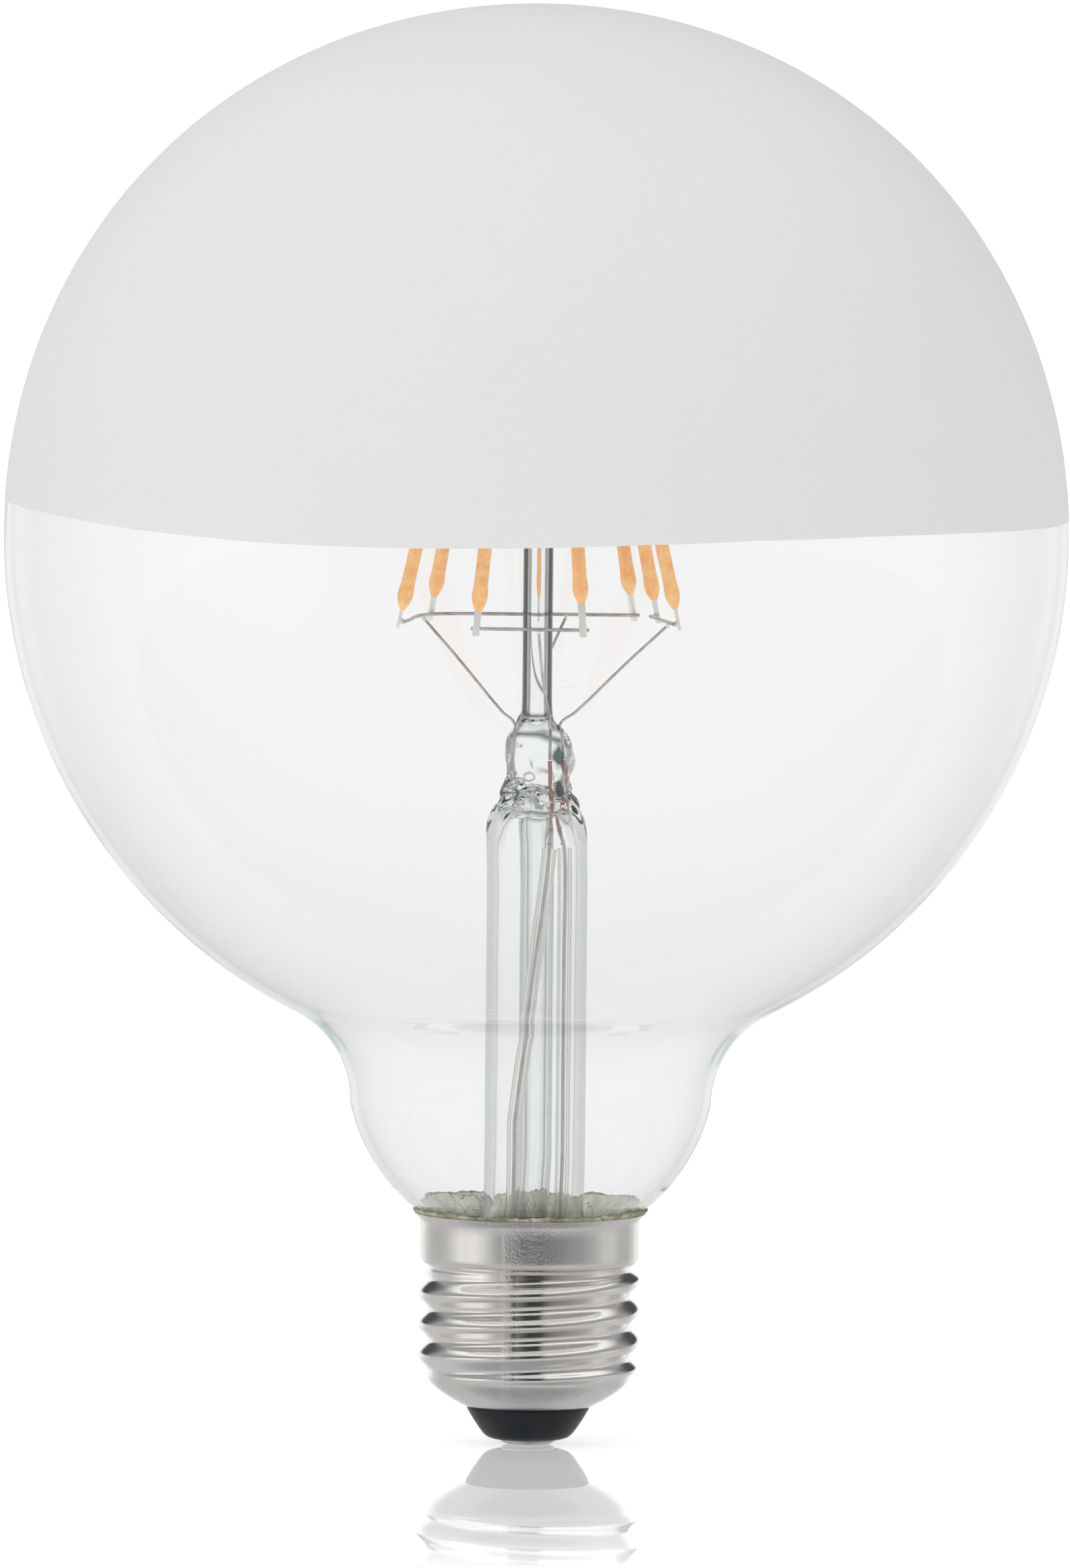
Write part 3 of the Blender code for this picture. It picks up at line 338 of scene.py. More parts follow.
class Look(Nodes):
    """A Principled material that is built up from nodes."""

    def __init__(self, name, **inputs):
        self.material = bpy.data.materials.new(name)
        self.material.use_nodes = True
        super().__init__(self.material.node_tree)
        self.shader = self.tree.nodes["Principled BSDF"]
        self.output = self.tree.nodes["Material Output"]
        for key, value in inputs.items():
            self.shader.inputs[key.replace("_", " ")].default_value = value
        self.place = self.node("TexCoord").outputs["Object"]

    def noise(self, scale, detail=3.0, rough=0.5, stretch=None, distortion=0.0):
        """A noise value. The scale is in cycles a metre."""
        place = self.place
        if stretch:
            place = self.node("Mapping", {"Vector": place, "Scale": stretch}).outputs["Vector"]
        return self.node("TexNoise", {
            "Vector": place, "Scale": scale, "Detail": detail, "Roughness": rough, "Distortion": distortion,
        }).outputs["Fac"]

    def axis(self, letter):
        """Metres along one axis."""
        return self.node("SeparateXYZ", {"Vector": self.place}).outputs[letter]

    def distance(self, centre_mm, scale):
        """Metres from a point. A scale of 0 leaves an axis out."""
        away = self.place
        for operation, by in (("SUBTRACT", [part * MM for part in centre_mm]), ("MULTIPLY", scale)):
            away = self.node("VectorMath", {0: away, 1: by}, operation=operation).outputs["Vector"]
        return self.node("VectorMath", {0: away}, operation="LENGTH").outputs["Value"]

    def facing(self):
        """0 where the surface faces the view, 1 where it is seen edge-on."""
        return self.node("LayerWeight", {"Blend": 0.5}).outputs["Facing"]

    def blend(self, share, *colours):
        """A colour between two others."""
        first, second = [
            colour if isinstance(colour, bpy.types.NodeSocket) else (*colour, 1.0) for colour in colours
        ]
        return self.node("Mix", {0: share, 6: first, 7: second}, data_type="RGBA").outputs[2]

    def set(self, name, source):
        self.tree.links.new(source, self.shader.inputs[name])

    def bump(self, height, strength, distance_mm):
        bump = self.node("Bump", {"Height": height, "Strength": strength, "Distance": distance_mm * MM})
        self.set("Normal", bump.outputs["Normal"])

    def roughen(self, fine, low, high, strength, distance_mm, relief=None):
        """An uneven polish, and a relief of the same noise unless another is given."""
        self.set("Roughness", self.spread(fine, 0.3, 0.7, low, high))
        self.bump(relief or fine, strength, distance_mm)

    def coarsened(self, fine, broad):
        return self.math("ADD", fine, self.times(broad, 0.6))

    def shader_of(self, kind, colour, **inputs):
        return self.node("Bsdf" + kind, {"Color": colour, **inputs}).outputs["BSDF"]

    def end_in(self, share, first, second):
        """Ends the material in a mix of two shaders."""
        mix = self.node("MixShader", {"Fac": share, 1: first, 2: second})
        self.tree.links.new(mix.outputs["Shader"], self.output.inputs["Surface"])

    def open_to_lamps(self, tint):
        """Lets lamps shine through, since their light isn't traced through bent glass."""
        clear = self.shader_of("Transparent", (*tint, 1.0))
        self.end_in(self.node("LightPath").outputs["Is Shadow Ray"], self.shader.outputs["BSDF"], clear)


def start_glass(name, density, colour, ripple):
    look = Look(name, Roughness=0.0, IOR=1.5, Transmission_Weight=1.0)
    look.bump(look.noise(55, detail=2.0, stretch=(1, 1, 0.45)), ripple, 1.0)
    look.open_to_lamps((0.94, 0.96, 0.95))
    absorb = look.node("VolumeAbsorption", {"Color": (*colour, 1.0), "Density": density})
    look.tree.links.new(absorb.outputs["Volume"], look.output.inputs["Volume"])
    return look


def make_globe_glass():
    """Clear soda glass, a little darker towards the bottom, with painted shade that greys it edge-on, and
    teal edge-on in the thick bend above the neck.
    """
    look = start_glass("globe_soda_glass", 12.0, (0.42, 0.78, 0.70), 0.02)
    z = look.axis("Z")
    facing = look.facing()
    clear = look.blend(look.spread(z, 0.050, 0.105), (0.968, 0.964, 0.965), (0.988, 0.984, 0.985))
    smoke = look.spread(look.noise(14, detail=2.0), 0.35, 0.65, 0.0, 0.4)
    clear = look.blend(smoke, clear, (0.973, 0.970, 0.971))
    # painted shade: the glass's colour greys where it is seen edge-on, in place of the dark rim that
    # refraction shows
    tone = look.blend(look.rise(facing, 0.86, 0.97), clear, (0.56, 0.58, 0.57))
    tilted = look.math("ADD", z, look.times(look.axis("X"), 0.03))
    bend = look.times(look.rise(tilted, 0.0452, 0.0463), look.fall(tilted, 0.0492, 0.0504),
                      look.rise(facing, 0.79, 0.86))
    look.set("Base Color", look.blend(bend, tone, (0.13, 0.37, 0.34)))
    return look.material


# Painted dark teal patches by the seals, painted shade for the dark refraction in the pinch: their middle and
# their size
PAINTED_DARK_PATCHES = (((2.9, -2.5, 81.2), 1.1), ((3.0, -2.8, 77.2), 0.9), ((-2.2, -3.0, 76.6), 0.7))
PATCH_RAGGEDNESS = 1.1


def make_stem_glass():
    """Soft lead-free glass, with painted shade that darkens the rod and tubes edge-on, and painted dark
    patches by the seals.
    """
    look = start_glass("stem_soft_glass", 16.0, (0.40, 0.72, 0.66), 0.03)
    z = look.axis("Z")
    facing = look.facing()
    axis = look.distance((0, 0, 0), (1, 1, 0))
    slim = look.spread(axis, 0.0024, 0.0027, 1.0, 0.0)
    rod = look.spread(z, 0.0845, 0.0860)
    # painted shade: the rod is darkened nearly to black where it is seen edge-on, the thin exhaust tube to
    # grey
    edge = look.blend(rod, (0.75, 0.775, 0.77), (0.13, 0.13, 0.13))
    outer = look.math("MAXIMUM", look.spread(axis, 0.0050, 0.0053), look.spread(z, 0.0695, 0.0710))
    # painted shade: the wide tube and the pinch grey where they are seen edge-on
    edge_on_shade = look.times(outer, look.rise(facing, 0.37, 0.42))
    shaded_wide = look.blend(edge_on_shade, WHITE, (0.77, 0.795, 0.795))
    # a lighter painted streak inside the painted edge shade of the rod and the thin tube
    streak = look.times(look.rise(facing, 0.20, 0.25), look.fall(facing, 0.30, 0.36))
    edge_shade_band = look.math("SUBTRACT", look.rise(facing, 0.085, 0.125), look.times(streak, 0.5))
    shaded_slim = look.blend(edge_shade_band, WHITE, edge)
    tone = look.blend(slim, shaded_wide, shaded_slim)
    # painted shade: near-black teal patches in the pinch glass, with ragged edges
    for centre, size in PAINTED_DARK_PATCHES:
        spot = look.distance(centre, (1, 1, 0.55))
        ragged = look.math("ADD", spot, look.times(look.noise(900), PATCH_RAGGEDNESS * MM))
        inner, outer = ((part * size + PATCH_RAGGEDNESS / 2) * MM for part in (0.5, 1))
        tone = look.blend(look.spread(ragged, inner, outer, 1.0, 0.0), tone, (0.004, 0.014, 0.012))
    look.set("Base Color", tone)
    return look.material


def make_frost():
    look = Look("frosted_coat", IOR=1.45)
    cloud = look.noise(38, detail=4.0)
    grain = look.noise(2600, detail=2.0, rough=0.7)
    tone = look.blend(look.spread(cloud, 0.3, 0.7), (0.83, 0.83, 0.826), (0.845, 0.845, 0.841))
    tone = look.blend(look.spread(grain, 0.35, 0.65, 0.0, 0.35), tone, (0.80, 0.80, 0.796))
    look.set("Base Color", tone)
    look.roughen(grain, 0.55, 0.7, 0.12, 0.02)
    look.end_in(0.28, look.shader.outputs["BSDF"], look.shader_of("Translucent", tone))
    return look.material


def make_cap_metal():
    """Nickel plate: a satin collar, a polished thread and a satin lower cone."""
    look = Look("cap_plate", Metallic=1.0)
    x, y, z = (look.axis(letter) for letter in "XYZ")
    collar = look.rise(z, 0.0211, 0.0217)
    cone = look.fall(z, 0.0078, 0.0084)
    satin = look.math("MAXIMUM", collar, cone)
    # a strip down the front with denser dark pits and more relief, and a narrow line beside it with more
    # relief
    front = look.spread(y, -0.010, -0.011)
    strip = look.times(look.spread(x, -0.0032, -0.0020), look.spread(x, 0.0012, 0.0036, 1.0, 0.0), front)
    line = look.times(look.spread(x, -0.0034, -0.0028), look.spread(x, -0.0022, -0.0016, 1.0, 0.0), front)
    speckle = look.noise(3000, rough=0.7)
    drawn = look.noise(900, detail=2.0, stretch=(0.12, 0.12, 1.0))
    stain = look.noise(160, detail=4.0, rough=0.6)
    stained = look.spread(stain, 0.35, 0.7)
    polished = look.blend(stained, (0.93, 0.905, 0.88), (0.87, 0.85, 0.83))
    brushed = look.blend(stained, (0.86, 0.835, 0.81), (0.80, 0.78, 0.76))
    streak = look.spread(look.noise(1100, rough=0.6, stretch=(1.0, 1.0, 0.03)), 0.35, 0.65)
    streaked = look.times(streak, look.spread(satin, 0, 1, 0.0, 0.35))
    plate = look.blend(streaked, look.blend(satin, polished, brushed), (0.70, 0.68, 0.66))
    pits = look.times(look.fall(speckle, 0.26, 0.34),
                      look.times(satin, look.spread(strip, 0, 1, 0.12, 0.5)))
    look.set("Base Color", look.blend(pits, plate, (0.42, 0.40, 0.38)))
    polish = look.spread(stain, 0.3, 0.7, 0.07, 0.12)
    look.set("Roughness", look.level(satin, polish, look.spread(speckle, 0.3, 0.7, 0.17, 0.23)))
    relief = look.math("ADD", speckle, look.times(drawn, 0.3))
    relief_amount = look.math("MAXIMUM", look.spread(line, 0, 1, 0.02, 0.6),
                     look.times(collar, look.spread(strip, 0, 1, 0.14, 0.8)))
    relief_amount = look.math("MAXIMUM", relief_amount, look.times(cone, 0.05))
    look.bump(look.times(relief, relief_amount), 0.5, 0.2)
    return look.material


def make_wire_metal(name, colour, dull, roughness):
    look = Look(name, Metallic=1.0)
    drawn = look.noise(1800, stretch=(1.0, 1.0, 0.3))
    tarnish = look.noise(420, detail=4.0, rough=0.6)
    look.set("Base Color", look.blend(look.spread(tarnish, 0.4, 0.72), colour, dull))
    look.roughen(drawn, roughness, roughness + 0.16, 0.12, 0.02)
    return look.material


def make_phosphor():
    look = Look("phosphor_silicone", Subsurface_Weight=0.25, Subsurface_Scale=0.0006,
                Subsurface_Radius=(1.0, 0.6, 0.3), Specular_IOR_Level=0.25)
    dust = look.noise(5200, rough=0.7)
    flow = look.noise(850, detail=4.0, rough=0.6)
    tone = look.blend(look.spread(flow, 0.36, 0.64), (0.98, 0.59, 0.26), (0.88, 0.42, 0.14))
    tone = look.blend(look.spread(dust, 0.35, 0.65, 0.0, 0.3), tone, (0.98, 0.68, 0.36))
    look.set("Base Color", tone)
    look.roughen(dust, 0.42, 0.6, 0.2, 0.02)
    return look.material


def make_plain(name, colour, second, scale, roughness, bump=0.15, metallic=0.0, gloss=0.5):
    look = Look(name, Metallic=metallic, Specular_IOR_Level=gloss)
    broad = look.noise(scale, detail=4.0, rough=0.6)
    look.set("Base Color", look.blend(look.spread(broad, 0.35, 0.65), colour, second))
    fine = look.noise(scale * 9, rough=0.6)
    look.roughen(fine, roughness, roughness + 0.15, bump, 0.05, look.coarsened(fine, broad))
    return look.material


def make_cement_look():
    """Pale where it fills the gap, olive brown in the seam that was squeezed out in front."""
    look = Look("capping_cement", Specular_IOR_Level=0.3)
    broad = look.noise(420, detail=4.0, rough=0.6)
    mottled = look.spread(broad, 0.38, 0.62)
    pale = look.blend(mottled, (0.68, 0.69, 0.58), (0.40, 0.41, 0.31))
    seam = look.blend(mottled, (0.47, 0.45, 0.36), (0.22, 0.21, 0.14))
    tone = look.blend(look.spread(look.axis("Y"), -0.002, 0.006), seam, pale)
    # painted shade: dark lines along the noise's ridges, for the creases between the cement's lumps
    ridge = look.math("ABSOLUTE", look.math("SUBTRACT", look.noise(300, distortion=0.6), 0.5))
    crease_shade = look.spread(ridge, 0.006, 0.030, 0.85, 0.0, "SMOOTHSTEP")
    look.set("Base Color", look.blend(crease_shade, tone, (0.17, 0.18, 0.11)))
    fine = look.noise(3200, rough=0.6)
    look.roughen(fine, 0.7, 0.9, 0.4, 0.05, look.coarsened(fine, broad))
    return look.material


def make_sleeving():
    look = Look("clear_sleeving", IOR=1.4, Transmission_Weight=1.0)
    # painted shade: the sleeving darkens where it is seen edge-on
    edge = look.rise(look.facing(), 0.2, 0.6)
    look.set("Base Color", look.blend(edge, (0.95, 0.955, 0.945), (0.78, 0.78, 0.75)))
    haze = look.noise(500, stretch=(1, 1, 0.2))
    look.roughen(haze, 0.03, 0.1, 0.08, 0.05)
    look.open_to_lamps((0.9, 0.9, 0.88))
    return look.material


glass = make_globe_glass()
stem_glass = make_stem_glass()
frost = make_frost()
cap_metal = make_cap_metal()
nickel = make_wire_metal("drawn_nickel", (0.60, 0.585, 0.57), (0.33, 0.30, 0.285), 0.14)
bright_tab = make_wire_metal("filament_lead_metal", (0.93, 0.92, 0.90), (0.80, 0.77, 0.74), 0.30)
copper = make_wire_metal("sealed_copper", (0.58, 0.30, 0.24), (0.36, 0.17, 0.14), 0.35)
tinned = make_wire_metal("tinned_lead", (0.60, 0.56, 0.51), (0.46, 0.40, 0.34), 0.3)
weld_metal = make_plain("weld_bead", (0.34, 0.31, 0.29), (0.20, 0.18, 0.17), 900, 0.35, 0.3, 1.0)
phosphor = make_phosphor()
cement = make_cement_look()
insulator = make_plain("black_vitrite", (0.008, 0.011, 0.014), (0.013, 0.016, 0.020), 500, 0.32, 0.08,
                       gloss=0.3)
contact = make_plain("tinned_contact", (0.72, 0.71, 0.69), (0.60, 0.59, 0.57), 600, 0.28, 0.2, 1.0)
sleeving = make_sleeving()


# Globe: one blown bulb, and the frosting on the outside of its upper part

def dome(angle):
    """The blown crown is a little fuller than a sphere between its top and its equator."""
    return 1 + CROWN_FULLNESS * math.sin(2 * angle) ** 2 if angle < math.pi / 2 else 1.0


def globe_profile(radius):
    centre_radius = WAIST_RADIUS + SWEEP_RADIUS
    join = math.atan2(centre_radius, WAIST_Z - GLOBE_CENTRE_Z)
    profile = [(0, GLOBE_CENTRE_Z + radius)]
    for row in range(1, 101):
        angle = join * row / 100
        full = radius * dome(angle)
        profile.append((full * math.sin(angle), GLOBE_CENTRE_Z + full * math.cos(angle)))
    for row in range(1, 25):
        angle = (join - math.pi / 2) * (1 - row / 24)
        profile.append((
            centre_radius - SWEEP_RADIUS * math.cos(angle), WAIST_Z + SWEEP_RADIUS * math.sin(angle),
        ))
    width = WAIST_RADIUS - MOUTH_RADIUS
    height = WAIST_Z - RIM_Z
    profile += bezier(
        (WAIST_RADIUS, WAIST_Z),
        (WAIST_RADIUS - 0.11 * width, WAIST_Z - 0.36 * height),
        (MOUTH_RADIUS + 0.53 * width, RIM_Z + 0.23 * height),
        (MOUTH_RADIUS, RIM_Z), 26,
    )
    step = MOUTH_RADIUS - NECK_RADIUS
    profile += bezier(
        (MOUTH_RADIUS, RIM_Z), (MOUTH_RADIUS - 0.6 * step, RIM_Z - 0.55),
        (NECK_RADIUS, RIM_Z - 1.1), (NECK_RADIUS, RIM_Z - 2.2), 10,
    )
    profile += [(NECK_RADIUS, NECK_END_Z + 0.3), (NECK_RADIUS - 0.1, NECK_END_Z)]
    return profile


def make_globe():
    outer = globe_profile(GLOBE_RADIUS - COAT)
    inner = offset_inward(outer, GLASS_WALL)
    inner[0] = (0, GLOBE_CENTRE_Z + GLOBE_RADIUS - COAT - GLASS_WALL)
    mesh = skin(lathe_rings(outer + inner[::-1], 160))
    for vert in mesh.verts:
        # hand-blown unevenness, which dies out at the outline's box
        if vert.co.z > 30:
            amount = 0.10 * clamp(1 - (vert.co.z - 30) / 70)
            wave = noise.noise(vert.co * 0.055 + Vector((3.1, 0.4, 7.7)))
            vert.co += level_part(vert.co).normalized() * amount * wave
    place("clear_globe", mesh, glass, "clear_glass", ["globe_glass"])


def frost_wave(front):
    """How far the dipped edge of the frosting rises above its level, at an angle from the front."""
    return FROST_RISE + sum(
        height * math.cos(waves * (front - math.radians(crest))) for waves, height, crest in FROST_WAVES
    )


def make_frost_coat():
    rows, columns = 64, 240
    lowest = math.acos((FROST_Z - GLOBE_CENTRE_Z) / GLOBE_RADIUS)
    edge = []
    for turn in circle(columns):
        around = Vector((math.cos(turn), math.sin(turn), 0))
        rise = frost_wave(math.atan2(around.x, -around.y))
        rise += 0.06 * noise.noise(around * 9.0 + Vector((4.7, 1.2, 9.3)))
        rise += 0.04 * noise.noise(around * 31.0)
        edge.append((around, lowest - rise / GLOBE_RADIUS))
    rings = [[Vector((0, 0, GLOBE_CENTRE_Z + GLOBE_RADIUS))]]
    for row in range(1, rows + 1):
        points = []
        for around, end in edge:
            angle = row / rows * end
            full = GLOBE_RADIUS * dome(angle)
            out = full * math.sin(angle)
            points.append(Vector((out * around.x, out * around.y, GLOBE_CENTRE_Z + full * math.cos(angle))))
        rings.append(points)
    place("frost_coat", skin(rings), frost, "frosted_glass")


# Stem: flare, tube, pinch, rod and exhaust tube are one piece of fused glass

def leant(point):
    rise = eased(clamp((point.z - LEAN_FOOT_Z) / LEAN_LENGTH))
    back = eased(clamp((point.z - RETURN_FOOT_Z) / RETURN_LENGTH))
    return point + Vector((STEM_LEAN * rise - STEM_RETURN * back, 0, 0))


PINCH_OUTLINE = (
    # height, half width, half depth and shift to the right
    (84.8, 2.3, 2.22, 0.02), (84.5, 2.62, 2.4, 0.04), (84.1, 3.0, 2.6, 0.08), (83.5, 3.45, 2.85, 0.14),
    (82.7, 3.8, 3.1, 0.2), (81.7, 4.0, 3.25, 0.24), (80.7, 4.08, 3.3, 0.26), (79.6, 3.98, 3.25, 0.26),
    (78.6, 3.82, 3.2, 0.25), (77.6, 3.75, 3.25, 0.22), (76.8, 4.0, 3.5, 0.16), (75.8, 4.6, 4.1, 0.1),
    (74.6, 5.2, 4.85, 0.04), (73.5, 5.65, 5.5, 0.0), (72.5, 5.86, 5.84, 0.0), (71.4, 5.9, 5.9, 0.0),
)


# Bubbles drawn out in the pinch: their two ends and their radius
BUBBLES = (
    ((-2.2, -1.9, 77.2), (-0.6, -2.2, 75.9), 0.42), ((0.2, -2.3, 77.9), (1.3, -2.2, 76.2), 0.28),
    ((-2.7, -1.2, 79.4), (-2.6, -1.4, 77.6), 0.2), ((-1.9, -1.6, 82.1), (-1.5, -1.9, 82.5), 0.16),
    ((2.4, -2.0, 78.2), (3.3, -1.6, 75.9), 0.25), ((-2.9, -2.2, 75.0), (-1.2, -3.0, 74.6), 0.3),
    ((0.9, -2.5, 75.4), (2.3, -2.4, 75.9), 0.24), ((-3.0, -0.9, 76.2), (-2.1, -1.7, 75.3), 0.28),
    ((1.5, -1.6, 79.7), (2.0, -1.5, 78.0), 0.2), ((-0.7, -1.7, 80.9), (-0.3, -1.6, 79.6), 0.14),
)


def bubble_into(mesh, rings, closed=False):
    """A hollow in the glass: its faces look inwards."""
    hollow = skin(rings, loop=closed, caps=not closed, mend=True)
    bmesh.ops.reverse_faces(hollow, faces=hollow.faces)
    data = as_data("hollow", hollow)
    mesh.from_mesh(data)
    bpy.data.meshes.remove(data)


def stem_rings(segments):
    rod = [(0, ROD_TOP_Z)]
    for degrees in range(10, 131, 10):
        turn = math.radians(degrees)
        rod.append((BUTTON_RADIUS * math.sin(turn), ARM_Z + BUTTON_RADIUS * math.cos(turn)))
    rod += [(1.85, 129.9), *upright(ROD_RADIUS, 129, 110, 98, 88), (1.79, 86.5), (1.86, 85.8),
            (1.98, 85.35), (2.12, 85.05)]
    halves = smooth([(half_width, half_depth, z) for z, half_width, half_depth, _ in PINCH_OUTLINE], 4)
    shifts = smooth([(shift, 0, z) for z, _, _, shift in PINCH_OUTLINE], 4)
    pinch = [ring(half.x, half.y, half.z, segments, shift.x) for half, shift in zip(halves, shifts)]
    flare = [(STEM_RADIUS, 28.6)]
    flare += bezier(flare[0], (STEM_RADIUS, 26.0), (STEM_RADIUS + 1.08, 24.4), (10.2, 23.0), 12)
    tube = upright(STEM_RADIUS, 68, 60, 52, 44, 36, 30.5) + flare + offset_inward(flare, STEM_WALL)[::-1]
    tube += upright(STEM_RADIUS - STEM_WALL, 34, 44, 56, 66, 70.6)
    tube += [(4.6, 71.6), (4.35, 72.6), (3.95, 73.5), (3.45, 74.2), (2.9, 74.5), (2.45, 74.3), (2.15, 73.6),
             (2.03, 72.6)]
    tube += upright(EXHAUST_RADIUS, 71.4, 66, 56, 44, 34, 26)
    tube += [(1.95, 23.6), (1.7, 22.4), (1.2, 21.6), (0.6, 21.4), (0, 21.3)]
    return lathe_rings(rod, segments) + pinch + lathe_rings(tube, segments)


def make_stem():
    mesh = skin(stem_rings(160))
    bore = [(0, 22.6), (0.5, 22.9), (1.0, 23.8), *upright(EXHAUST_BORE, 25.4, 34, 44, 56, 68), (1.15, 72),
            (1.0, 74.4), (0.8, 76.0), (0.5, 77.0), (0, 77.4)]
    skin(lathe_rings(bore, 48), mesh)
    press = Vector((7.3, 2.9, 0.6))
    for vert in mesh.verts:
        z = vert.co.z
        level = clamp((z - 71.5) / 3) * clamp(85.2 - z)
        outward = level_part(vert.co)
        if not level or outward.length < 0.05:
            continue
        outward.normalize()
        # the jaws' press marks front and back, and the glass's own lumps
        jaw = abs(outward.y) ** 3 * math.exp(-((z - 80.2) / 2.2) ** 2)
        fold = math.exp(-((z - 76.6) / 2.0) ** 2)
        lump = noise.noise(vert.co * 0.5 + press) + 0.3 * fold * noise.noise(vert.co * 1.3 + press)
        vert.co += outward * level * ((0.28 + 0.56 * fold) * lump - 0.35 * jaw)
    loop = [Vector((-0.8 + 0.62 * math.cos(a), -2.3, 78.7 + 0.5 * math.sin(a))) for a in circle(20)]
    bubble_into(mesh, tube_rings([*loop, loop[0]], 0.13, 10)[:-1], closed=True)
    for start, end, size in BUBBLES:
        path = [Vector(start).lerp(Vector(end), step / 10) for step in range(11)]
        bubble_into(mesh, tube_rings(path, lambda share: max(size * math.sin(math.pi * share), 0.02), 10))
    for vert in mesh.verts:
        vert.co = leant(vert.co)
    place("glass_stem", mesh, stem_glass, "clear_glass", ["stem_tube", "exhaust_tube", "support_rod"])


# Filament cage

def bearing(degrees_from_front):
    turn = math.radians(degrees_from_front)
    return Vector((math.sin(turn), -math.cos(turn), 0))


class Filament:
    def __init__(self, number, degrees):
        foot_radius = REAR_FOOT_RADIUS if number == REAR_FILAMENT else CAGE_FOOT_RADIUS
        lean = foot_radius - CAGE_HEAD_RADIUS
        rise = math.sqrt(FILAMENT_LENGTH ** 2 - lean ** 2)
        self.number = number
        self.outward = bearing(degrees)
        self.foot = self.outward * foot_radius + Vector((CAGE_X, 0, CAGE_FOOT_Z))
        self.head = self.outward * CAGE_HEAD_RADIUS + Vector((CAGE_X, 0, CAGE_FOOT_Z + rise))
        self.axis = (self.head - self.foot).normalized()
        self.width = Vector((0, 0, 1)).cross(self.outward).normalized()
        self.thickness = self.width.cross(self.axis).normalized()
        self.weld = self.foot + self.axis * TAB_PROJECTION

    def section(self, along, across, deep, sides=24, power=2.0):
        centre = self.foot + self.axis * along
        points = []
        for turn in circle(sides):
            x = math.copysign(abs(math.cos(turn)) ** (2 / power), math.cos(turn))
            y = math.copysign(abs(math.sin(turn)) ** (2 / power), math.sin(turn))
            points.append(centre + self.width * across * x + self.thickness * deep * y)
        return points


filaments = {number: Filament(number, degrees) for number, degrees in enumerate(FILAMENT_ANGLES, start=1)}


def make_filament(filament):
    coat = FILAMENT_RADIUS - 0.05
    length = FILAMENT_LENGTH
    # how far from the coat's end, half width and half depth
    tip = ((0, 0.40, 0.22), (0.12, 0.47, 0.32), (0.4, 0.56, 0.48), (0.75, 0.72, 0.66), (1.2, 0.87, 0.82),
           (1.75, 0.95, 0.91), (2.3, 0.93, 0.89), (3.1, 0.84, 0.82), (4.1, coat, coat))
    bare = TAB_LENGTH - COAT_LAP + BARE_TABS[filament.number - 1]
    lower = [(bare + along, across, deep) for along, across, deep in tip]
    upper = [(length - TAB_LENGTH + COAT_LAP - along, across, deep) for along, across, deep in tip[::-1]]
    first, last = lower[-1][0], upper[0][0]
    middle = [(first + (last - first) * k / 12, coat, coat) for k in range(1, 12)]
    rings = []
    for along, across, deep in lower + middle + upper:
        uneven = 1 + 0.035 * noise.noise(Vector((along * 0.35, filament.number * 5.1, 0.7)))
        rings.append(filament.section(along, across * uneven, deep * uneven))
    name = f"filament_{filament.number}"
    place(name, skin(rings, caps=True, mend=True), phosphor, "phosphor_coat", [f"led_{name}"], sharp=60)
    tabs = bmesh.new()
    for start, end in ((0.0, bare + 1.55), (length, length - TAB_LENGTH - 1.2)):
        rings = []
        for share, size, neck in ((0.0, 0.92, 1), (0.02, 1, 1), (0.3, 1, 1), (0.38, 1, 0.8), (0.46, 1, 1),
                                  (0.7, 1, 1), (1.0, 1, 1)):
            rings.append(filament.section(start + (end - start) * share, TAB_WIDTH / 2 * neck * size,
                                          TAB_THICKNESS / 2 * size, sides=16, power=5.0))
        skin(rings, tabs, caps=True, mend=True)
    place(f"{name}_tabs", tabs, bright_tab, "nickel_wire", sharp=40)


# The filaments on each lower bridge wire, and where the upper ones run and their arms meet them,
# in degrees from the front
BRIDGES = {"front": (3, 4), "right": (7, 6), "rear": (1, 2, 8, 5)}
TOP_ARCS = {"left": (18, -130), "right": (80, 182)}
ARM_ANGLES = {"left": -53, "right": 108}


def weld_seat(filament, run):
    level_run = level_part(run).normalized()
    inward = -filament.outward
    inward = (inward - level_run * inward.dot(level_run)).normalized()
    half = abs(filament.width.dot(inward)) * TAB_WIDTH / 2
    half += abs(filament.thickness.dot(inward)) * TAB_THICKNESS / 2
    return filament.weld + inward * (half + WELD_GAP + WIRE_RADIUS)


def bridge_route(numbers):
    chain = [filaments[number] for number in numbers]
    seats = []
    for index, filament in enumerate(chain):
        run = chain[min(index + 1, len(chain) - 1)].foot - chain[max(index - 1, 0)].foot
        seats.append(weld_seat(filament, run))
    first = seats[0] + (seats[0] - seats[1]).normalized() * WIRE_OVERRUN
    last = seats[-1] + (seats[-1] - seats[-2]).normalized() * WIRE_OVERRUN
    return [first, *seats, last]


def top_arc_point(degrees):
    lean = math.asin((CAGE_FOOT_RADIUS - CAGE_HEAD_RADIUS) / FILAMENT_LENGTH)
    standoff = (TAB_THICKNESS / 2 + WELD_GAP + WIRE_RADIUS) / math.cos(lean)
    radius = CAGE_HEAD_RADIUS + TAB_PROJECTION * math.sin(lean) - standoff
    z = CAGE_FOOT_Z + (FILAMENT_LENGTH - TAB_PROJECTION) * math.cos(lean)
    return bearing(degrees) * radius + Vector((CAGE_X, 0, z))


def top_arc(first_degrees, last_degrees):
    way = math.copysign(1, last_degrees - first_degrees)
    overrun = way * math.degrees(WIRE_OVERRUN / CAGE_HEAD_RADIUS)
    start = first_degrees - overrun
    sweep = last_degrees + overrun - start
    steps = round(abs(sweep) / 5)
    return [top_arc_point(start + sweep * step / steps) for step in range(steps + 1)]


